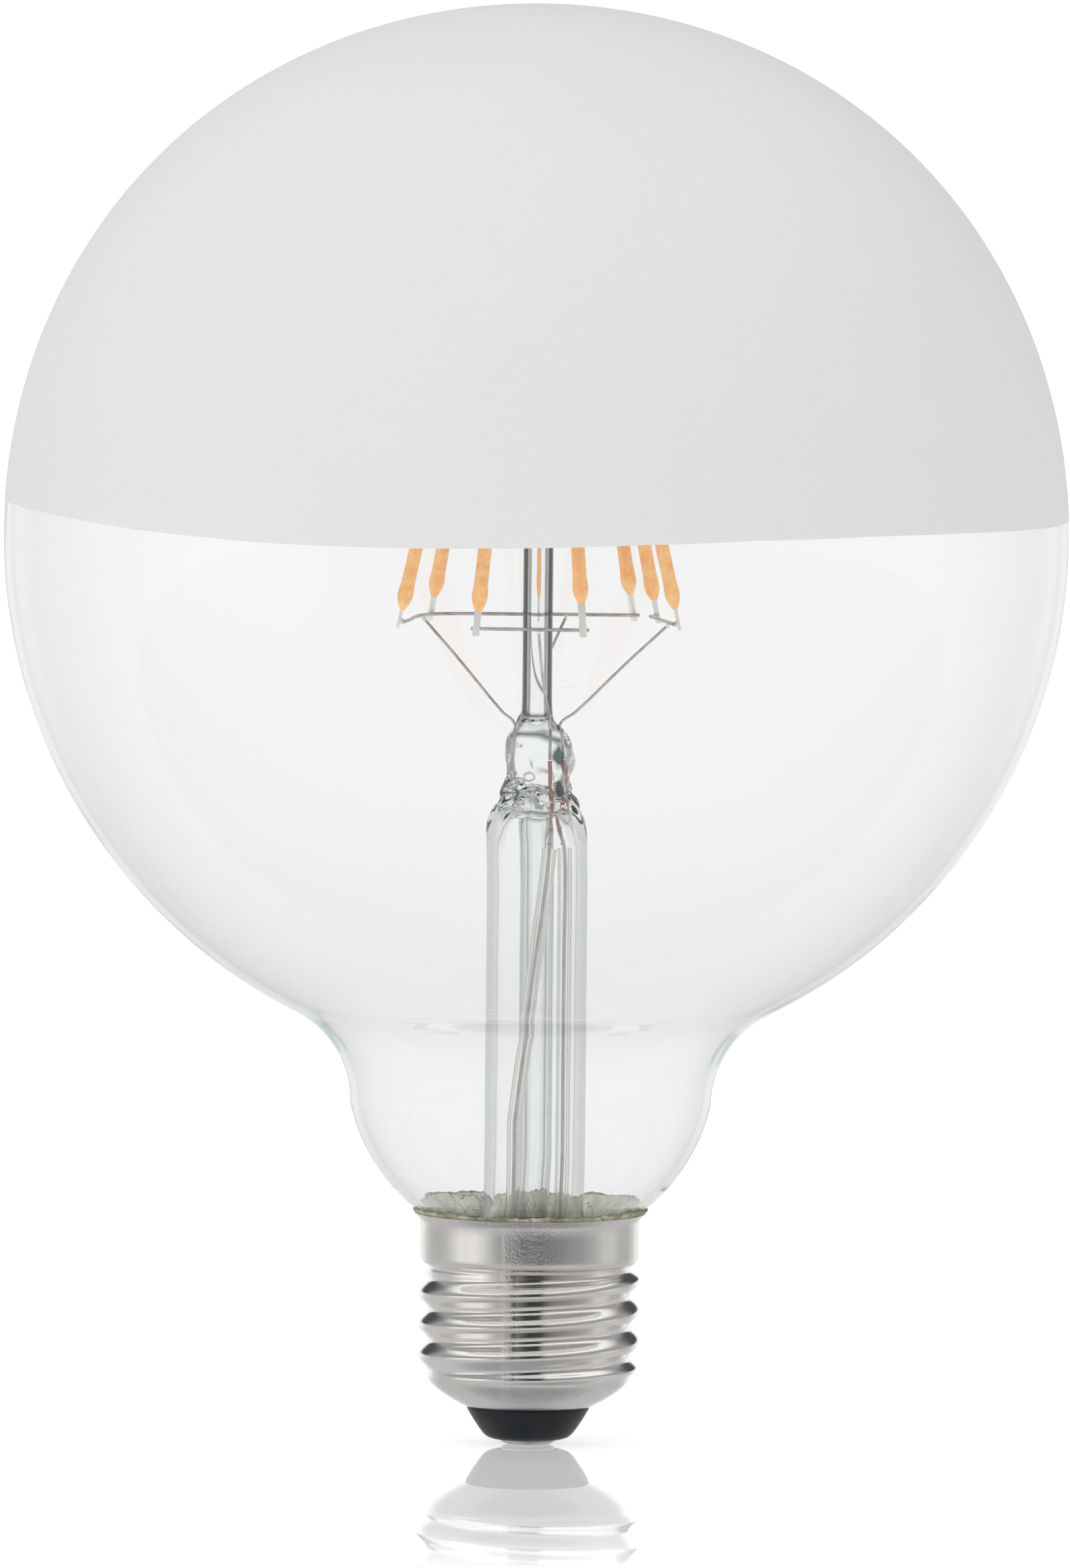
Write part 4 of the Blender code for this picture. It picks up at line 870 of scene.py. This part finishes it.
def make_cage_wires():
    for side, numbers in BRIDGES.items():
        first, *seats, last = bridge_route(numbers)
        wire(f"{side}_bridge", [first, *smooth(seats, 12), last], nickel, "nickel_wire",
             [f"{side}_bridge_wire"], radius=BRIDGE_WIRE)
        welds = bmesh.new()
        for seat, number in zip(seats, numbers):
            blob_into(welds, seat.lerp(filaments[number].weld, 0.45), (0.34, 0.34, 0.36), 3.0 * number)
        place(f"{side}_bridge_welds", welds, bright_tab, "nickel_wire")
    for side, span in TOP_ARCS.items():
        wire(f"{side}_top_bridge", top_arc(*span), nickel, "nickel_wire", [f"{side}_top_bridge_wire"])
    level = Vector((0, 0, ARM_Z))
    clear = 2 * WIRE_RADIUS + WELD_GAP
    for side, degrees in ARM_ANGLES.items():
        outward = bearing(degrees)
        carried = top_arc_point(degrees)
        reach = level_part(carried).length
        points = [level + outward * out for out in (1.25, BUTTON_RADIUS + 2 * WIRE_RADIUS, reach - 2 * clear)]
        points.append(Vector((0, 0, carried.z + clear)) + outward * reach)
        wire(f"{side}_top_arm", smooth(points, 8), nickel, "nickel_wire", [f"{side}_top_arm"])


# Where the wires enter the pinch: to the right and to the back
PINCH_WIRES = {"front": (1.5, -2.05), "right": (2.75, 0.0), "left": (-2.6, -0.7), "rear": (-2.3, 1.2)}


def support_route(bridge_point, spot, bends, end_z):
    entry = leant(Vector((*spot, PINCH_TOP_Z + WIRE_RADIUS)))
    span = bridge_point - entry
    start = bridge_point - span.normalized() * (2 * WIRE_RADIUS + WELD_GAP)
    points = [entry + Vector((span.x * along, span.y * along, span.z * rise)) for along, rise in bends]
    return [start, *points, entry, leant(Vector((*spot, end_z)))]


def make_support_wires():
    front, right, rear = (bridge_route(numbers) for numbers in BRIDGES.values())
    # shares of the way from the pinch to the bridge, level and upwards
    straight = ((0.6, 0.6), (0.14, 0.12))
    bowed = ((0.72, 0.62), (0.4, 0.32), (0.1, 0.13))
    beads = bmesh.new()
    for side, joint, bends, end_z in (
        ("front", front[1].lerp(front[2], 0.58), bowed, LEAD_END_Z),
        ("right", right[1].lerp(right[2], 0.12), straight, LEAD_END_Z),
        ("left", rear[1].lerp(rear[2], 0.6), straight, ANCHOR_END_Z),
        ("rear", rear[3].lerp(rear[4], 0.32), straight, ANCHOR_END_Z),
    ):
        route = smooth(support_route(joint, PINCH_WIRES[side], bends, end_z), 10)
        wire(f"{side}_support", route, nickel, "nickel_wire", [f"{side}_support_wire"], radius=SUPPORT_WIRE)
        blob_into(beads, joint.lerp(route[0], 0.5), (0.28, 0.28, 0.36), len(side) * 1.7)
    place("support_welds", beads, bright_tab, "nickel_wire")
    for side in ("front", "right"):
        x, y = PINCH_WIRES[side]
        points = [leant(Vector((x + 0.05 * math.sin(step * 1.1), y, LEAD_END_Z - WELD_GAP - step)))
                  for step in range(SEAL_LENGTH + 1)]
        wire(f"{side}_seal", smooth(points, 3), copper, "seal_copper", [f"{side}_seal_wire"],
             radius=SEAL_RADIUS)


def on_sleeve_ring(degrees, z):
    radius = (EXHAUST_RADIUS + STEM_RADIUS - STEM_WALL) / 2
    turn = math.radians(degrees)
    return Vector((radius * math.cos(turn), radius * math.sin(turn), z))


def make_leads():
    # one sleeve winds round the exhaust tube before it goes down, the other goes straight down
    bend_z = SLEEVE_END_Z + 0.36 * (SLEEVE_TOP_Z - SLEEVE_END_Z)
    slanted = [
        on_sleeve_ring(-65 - 68 * step / 8, SLEEVE_TOP_Z + step / 8 * (bend_z - SLEEVE_TOP_Z))
        for step in range(9)
    ]
    slanted += [on_sleeve_ring(-133, bend_z + share * (SLEEVE_END_Z - bend_z)) for share in (0.12, 0.5, 1.0)]
    straight = [on_sleeve_ring(-20, SLEEVE_TOP_Z + step / 4 * (SLEEVE_END_Z - SLEEVE_TOP_Z))
                for step in range(5)]
    # the leads lap over the board's front face
    lap_y = -(0.5 + 0.3 + LEAD_RADIUS)
    beads = bmesh.new()
    for number, side, route in ((1, "front", slanted), (2, "right", straight)):
        path = [leant(point) for point in smooth(route, 4)]
        outer, inner = (tube_rings(path, radius, 24) for radius in (SLEEVE_RADIUS, SLEEVE_BORE))
        place(f"clear_sleeve_{number}", skin(outer + inner[::-1], loop=True, mend=True), sleeving,
              "clear_sleeve", [f"lead_sleeve_{number}"], sharp=40)
        top = leant(Vector((*PINCH_WIRES[side], SEAL_END_Z - WELD_GAP)))
        lap, foot = (Vector((route[-1].x, lap_y, BOARD_TOP_Z - depth)) for depth in (0, 1.4))
        wire(f"lead_{number}", smooth([top, *path[::4], lap, foot], 4), tinned, "lead_copper",
             [f"outer_lead_{number}"], radius=LEAD_RADIUS, sides=12)
        blob_into(beads, top, (0.26, 0.26, 0.34), number * 2.3)
        blob_into(beads, top.lerp(path[0], 0.72), (0.28, 0.27, 0.24), number * 4.1)
    place("lead_welds", beads, weld_metal, "nickel_wire")


# Screw cap

def thread_point(angle, z):
    ends = min(THREAD_TOP_Z - z, z - THREAD_BOTTOM_Z) / THREAD_RUN_OUT
    turns = (z - THREAD_BOTTOM_Z) / THREAD_PITCH - (angle - THREAD_CREST_ANGLE) / (2 * math.pi)
    wave = 0.5 + 0.5 * math.cos(2 * math.pi * turns)
    radius = THREAD_ROOT + THREAD_DEPTH * eased(clamp(ends)) * wave
    return Vector((radius * math.cos(angle), radius * math.sin(angle), z))


def make_cap():
    segments = 320
    rows = [(LIP_RADIUS - SHELL_WALL, RIM_Z - 0.02), (LIP_RADIUS - 0.5 * SHELL_WALL, RIM_Z),
            (LIP_RADIUS, RIM_Z - 0.14)]
    rows += bezier(rows[-1], (13.45, RIM_Z - 0.45), (12.98, RIM_Z - 0.62), (COLLAR_RADIUS, RIM_Z - 1.2), 8)
    rows += upright(COLLAR_RADIUS, 25.0, 23.6, COLLAR_FOOT_Z)
    rows += bezier(rows[-1], (COLLAR_RADIUS, 21.7), (12.5, 21.3), (THREAD_ROOT, THREAD_START_Z), 9)
    rings = lathe_rings(rows, segments)
    steps = 150
    for step in range(steps + 1):
        z = THREAD_TOP_Z - (THREAD_TOP_Z - THREAD_BOTTOM_Z) * step / steps
        rings.append([thread_point(turn, z) for turn in circle(segments)])
    cone = bezier((THREAD_ROOT, THREAD_BOTTOM_Z), (11.44, 6.75), (9.7, 5.6), (7.4, 4.45), 18)
    inner = [(7.22, 4.55), (9.2, 5.8), (11.2, 7.25), *upright(THREAD_ROOT - SHELL_WALL, 8.2, 20.6),
             (12.2, 21.2), *upright(COLLAR_RADIUS - SHELL_WALL, 22.2, 26.2), (13.0, 26.9),
             (LIP_RADIUS - SHELL_WALL - 0.02, RIM_Z - 0.1)]
    rings += lathe_rings(cone + inner, segments)
    place("cap_shell", skin(rings, loop=True), cap_metal, "cap_nickel", ["screw_shell"], sharp=70)


def make_cement():
    """Cement in the gap round the neck, squeezed up over the lip in lumps, most at the back."""
    sections = []
    for turn in circle(260):
        around = Vector((math.cos(turn), math.sin(turn), 0))
        behind = max(around.y, 0.0)
        swell = noise.noise(around * 2.6 + Vector((0.3, 8.1, 2.0)))
        crumb = noise.noise(around * 13.0 + Vector((5.3, 1.1, 0.0)))
        fine = noise.noise(around * 40.0 + Vector((1.3, 2.1, 7.0)))
        rise = 0.38 + 0.20 * behind + 0.5 * (0.4 + 0.6 * behind) * swell + 0.26 * crumb + 0.12 * fine
        rise = clamp(rise, low=0.03)
        spread = 0.10 * crumb + 0.05 * fine - 0.04
        outline = [
            (11.5, 22.5), (11.48, 24.6), (11.72, 25.6), (12.25, 26.6), (12.95, 27.3),
            (13.1 + 1.05 * rise, 27.42 + 0.9 * rise), (13.35 + 1.0 * rise, 27.44 + 0.75 * rise),
            (13.62 + 0.5 * rise + spread, 27.42 + 0.35 * rise), (13.60 + spread, 27.30),
            (13.36, 27.38), (13.05, 27.0), (12.5, 26.2), (12.45, 22.5),
        ]
        sections.append([Vector((around.x * r, around.y * r, z)) for r, z in outline])
    place("cement_ring", skin(sections, loop=True, mend=True), cement, "cement", ["basing_cement"])


def make_insulator():
    outer = [(5.0, 6.6), (9.7, 6.6), (9.4, 6.2), (8.5, 5.6), (7.6, 5.05), (7.1, 4.6), (7.2, 4.3), (7.16, 4.1),
             (6.45, 2.9), (5.75, 1.85), (5.25, 1.2), (4.98, 0.96), (4.7, 0.78), (4.2, 0.62), (3.7, 0.52)]
    inner = [(3.5, 0.5), (3.5, 0.9), (0.6, 0.9), (0.6, 4.6), (5.0, 4.6)]
    place("vitrite_insulator", skin(lathe_rings(outer + inner, 128), loop=True), insulator,
          "black_insulator", ["cap_insulator"], sharp=50)
    disc = [(0, 0.6), (3.0, 0.6), (3.17, 0.55), (3.2, 0.42), (3.15, 0.28), (3.0, 0.14), (2.7, 0.04),
            (2.4, 0.0), (0, 0.0)]
    place("contact_disc", skin(lathe_rings(disc, 96)), contact, "contact_metal", ["tip_contact"], sharp=60)


INNER_LOOKS = {
    "driver_board": make_plain("board_laminate", (0.03, 0.20, 0.08), (0.04, 0.26, 0.11), 900, 0.35),
    "bridge_rectifier": make_plain("rectifier_case", (0.02, 0.02, 0.02), (0.03, 0.03, 0.03), 1500, 0.45),
    "driver_chip": make_plain("chip_case", (0.02, 0.02, 0.02), (0.035, 0.035, 0.035), 1500, 0.45),
    "smoothing_capacitor": make_plain("capacitor_wrap", (0.04, 0.05, 0.11), (0.05, 0.06, 0.13), 600, 0.3),
    "choke": make_plain("ferrite_drum", (0.10, 0.09, 0.09), (0.14, 0.13, 0.12), 1800, 0.6),
    "fuse_resistor": make_plain("resistor_lacquer", (0.30, 0.42, 0.30), (0.36, 0.48, 0.35), 1200, 0.4),
    "live_lead": tinned,
    "neutral_lead": tinned,
}

make_globe()
make_frost_coat()
make_stem()
for one in filaments.values():
    make_filament(one)
make_cage_wires()
make_support_wires()
make_leads()
make_cap()
make_cement()
make_insulator()
for name, look in INNER_LOOKS.items():
    data = nodes[name].data
    data.materials.clear()
    data.materials.append(look)


# Studio

def stage_disc(name, radius, z, look):
    mesh = bmesh.new()
    bmesh.ops.create_circle(mesh, cap_ends=True, segments=96, radius=radius)
    bmesh.ops.translate(mesh, verts=mesh.verts, vec=(0, 0, z))
    disc = as_object(name, as_data(name, mesh))
    disc.data.materials.append(look.material)
    disc.visible_glossy = False
    disc.visible_diffuse = False
    return disc


def make_floor():
    look = Look("white_table", Base_Color=(0.8, 0.8, 0.8, 1), Roughness=0.5, Specular_IOR_Level=0.0)
    floor = stage_disc("floor", 6.0, 0.0, look)
    floor.visible_transmission = False
    glow = look.node("Emission", {"Color": (*WHITE, 1), "Strength": 0.42})
    lit = look.node("AddShader", {0: look.shader.outputs["BSDF"], 1: glow.outputs["Emission"]})
    # The polish is a mirror just under the table's face, so that what it shows can be told from
    # what the lamp itself mirrors
    into = look.shader_of("Refraction", (*WHITE, 1), Roughness=0.0, IOR=1.0002)
    away = look.node("VectorMath", {0: look.place}, operation="LENGTH").outputs["Value"]
    look.end_in(look.spread(away, 0.09, 0.19, 0.56, 0.0, "SMOOTHSTEP"), lit.outputs["Shader"], into)
    look = Look("table_polish")
    mirror = stage_disc("floor_polish", 0.25, -0.0001, look)
    mirror.visible_camera = False
    mirror.visible_shadow = False
    later = look.math("GREATER_THAN", look.node("LightPath").outputs["Transmission Depth"], 1.5)
    polish = look.shader_of("Glossy", (*WHITE, 1), Roughness=0.015)
    look.end_in(later, polish, look.shader_of("Transparent", (*WHITE, 1)))


# What a mirror sees at the lamp's own level, by the angle from the front, in degrees to the right
LEVEL_STUDIO = (
    (-180, 1.0), (-150, 1.0), (-140, 0.70), (-122, 0.52), (-100, 0.54), (-82, 0.92), (-56, 1.0),
    (-42, 0.56), (-27, 0.34), (-17, 0.22), (0, 0.05), (14, 0.06), (27, 0.22), (52, 0.33), (72, 0.46),
    (86, 0.68), (100, 0.66), (112, 0.50), (130, 0.50), (140, 0.70), (150, 1.0), (180, 1.0),
)
# What the stem's bent glass gathers from below and above, from straight down to straight up
BENT_LEVELS = (
    (-1.0, 0.7), (-0.8, 0.25), (-0.62, 0.95), (-0.48, 0.9), (-0.34, 0.06), (-0.2, 1.0), (0.22, 1.0),
    (0.36, 0.22), (0.5, 1.0), (0.66, 0.9), (0.8, 0.35), (0.92, 0.9), (1.0, 1.0),
)


def grey_ramp(sky, share, stops):
    """Grey levels at stops, of which the first and the last are at the shares 0 and 1."""
    made = sky.node("ValToRGB", {"Fac": share})
    elements = made.color_ramp.elements
    low, high = stops[0][0], stops[-1][0]
    for index, (stop, grey) in enumerate(stops):
        spot = (stop - low) / (high - low)
        element = elements[index] if index < 2 else elements.new(spot)
        element.position = spot
        element.color = (grey, grey, grey, 1)
    return made.outputs["Color"]


def make_world():
    """White behind the lamp. Mirrored rays see a studio with soft boxes and dark flags."""
    world = bpy.data.worlds.new("studio")
    world.use_nodes = True
    bpy.context.scene.world = world
    world.cycles.sampling_method = "NONE"
    sky = Nodes(world.node_tree)
    direction = sky.node("TexCoord").outputs["Generated"]
    x, y, z = sky.node("SeparateXYZ", {"Vector": direction}).outputs
    forward = sky.times(y, -1.0)
    around = sky.math("ARCTAN2", x, forward)
    share = sky.math("ADD", sky.math("DIVIDE", around, 2 * math.pi), 0.5)
    level_band = grey_ramp(sky, share, LEVEL_STUDIO)
    # Above the lamp's level: soft boxes left and right in front, a dark gap between them, and
    # darkness behind. Straight overhead is dark in the middle, too
    gap = sky.math("MAXIMUM", sky.rise(x, 0.16, 0.27), sky.rise(sky.times(x, -1.0), 0.08, 0.44))
    overhead = sky.level(gap, 0.68, 1.0)
    front = sky.rise(forward, -0.82, -0.50)

    def studio(box_level, below_level, nadir_level):
        above = sky.level(front, 0.08, sky.level(gap, 0.05, box_level))
        above = sky.level(sky.rise(z, 0.55, 0.75), above, overhead)
        sight = sky.level(sky.rise(z, 0.06, 0.20), level_band, above)
        below = sky.level(sky.rise(z, -0.70, -0.98), below_level, nadir_level)
        return sky.level(sky.rise(z, -0.12, -0.45), sight, below)

    def beyond(count, least):
        """1 for a ray that has gone through more than so many bounces."""
        return sky.math("GREATER_THAN", count, least)

    mirrored = studio(0.36, 0.57, 0.34)
    # Mirrored inside the glass, the same studio is softer
    inner = sky.level(sky.rise(z, 0.0, 0.8), 0.74, 0.76)
    inner = sky.level(sky.rise(sky.math("ABSOLUTE", x), 0.25, 0.9), inner, 0.85)
    inner = sky.level(sky.rise(z, -0.1, -0.7), inner, 1.0)
    # Seen through the bent glass of the stem, the white has dark edges
    crossed = sky.math("ABSOLUTE", sky.math("SINE", sky.times(around, 2.0)))
    from_below_up = sky.math("ADD", sky.times(z, 0.5), 0.5)
    bent = sky.times(sky.level(sky.rise(crossed, 0.80, 0.97), 1.0, 0.34),
                     grey_ramp(sky, from_below_up, BENT_LEVELS))
    path = sky.node("LightPath").outputs
    depth = path["Transmission Depth"]
    mirrors = path["Glossy Depth"]
    glassy = sky.level(beyond(depth, 4.5), 1.0, bent)
    # The floor mirrors the white background, and a cap that is darker from below
    floor_sees = sky.level(beyond(mirrors, 1.5), 1.0, studio(0.80, 0.40, 0.21))
    glossy = sky.level(beyond(depth, 0.5), mirrored, floor_sees)
    glossy = sky.level(beyond(depth, 1.5), glossy, 0.82)
    glossy = sky.level(beyond(depth, 3.5), glossy, inner)
    # The light that has come in through the glass is made up, so colours inside render as written
    inside = sky.times(beyond(depth, 3.5), beyond(path["Diffuse Depth"], 0.5))
    strength = sky.level(path["Is Diffuse Ray"], sky.level(inside, glassy, 1.22), 0.93)
    strength = sky.level(beyond(mirrors, 0.5), strength, glossy)
    strength = sky.level(path["Is Camera Ray"], strength, 1.0)
    background = sky.tree.nodes["Background"]
    background.inputs["Color"].default_value = (*WHITE, 1)
    sky.tree.links.new(strength, background.inputs["Strength"])


def lamp(name, location, target, size, power):
    light = bpy.data.lights.new(name, "AREA")
    light.shape = "RECTANGLE"
    light.size, light.size_y = size
    light.energy = power
    thing = as_object(name, light)
    thing.location = location
    thing.rotation_euler = (Vector(target) - Vector(location)).to_track_quat("-Z", "Y").to_euler()
    thing.visible_glossy = False
    thing.visible_camera = False
    thing.visible_transmission = False


PHOTO_HEIGHT = 2324
PIXELS_PER_MM = 12.632
CAMERA_X = 0.00013
CAMERA_ROLL = math.radians(0.55)


def make_camera():
    data = bpy.data.cameras.new("camera")
    data.sensor_fit = "VERTICAL"
    data.sensor_height = 36.0
    camera = as_object("camera", data)
    camera.location = (CAMERA_X, -3.0, 0.30)
    ahead = Vector((CAMERA_X, 0.0, 0.0777)) - Vector(camera.location)
    height_shown = PHOTO_HEIGHT / PIXELS_PER_MM * MM
    data.lens = data.sensor_height * ahead.length / height_shown
    turned = ahead.to_track_quat("-Z", "Y").to_matrix()
    camera.rotation_euler = (turned @ Euler((0, 0, CAMERA_ROLL)).to_matrix()).to_euler()
    bpy.context.scene.camera = camera


make_floor()
make_world()
lamp("left_soft_box", (-1.3, -1.2, 1.3), (0, 0, 0.09), (1.0, 1.0), 8.0)
lamp("right_soft_box", (1.5, -1.0, 1.0), (0, 0, 0.09), (0.9, 0.9), 0.8)
make_camera()

scene = bpy.context.scene
scene.view_settings.view_transform = "Standard"
scene.cycles.blur_glossy = 0.0
scene.cycles.max_bounces = 32
scene.cycles.transmission_bounces = 32
scene.cycles.glossy_bounces = 8
scene.cycles.transparent_max_bounces = 16
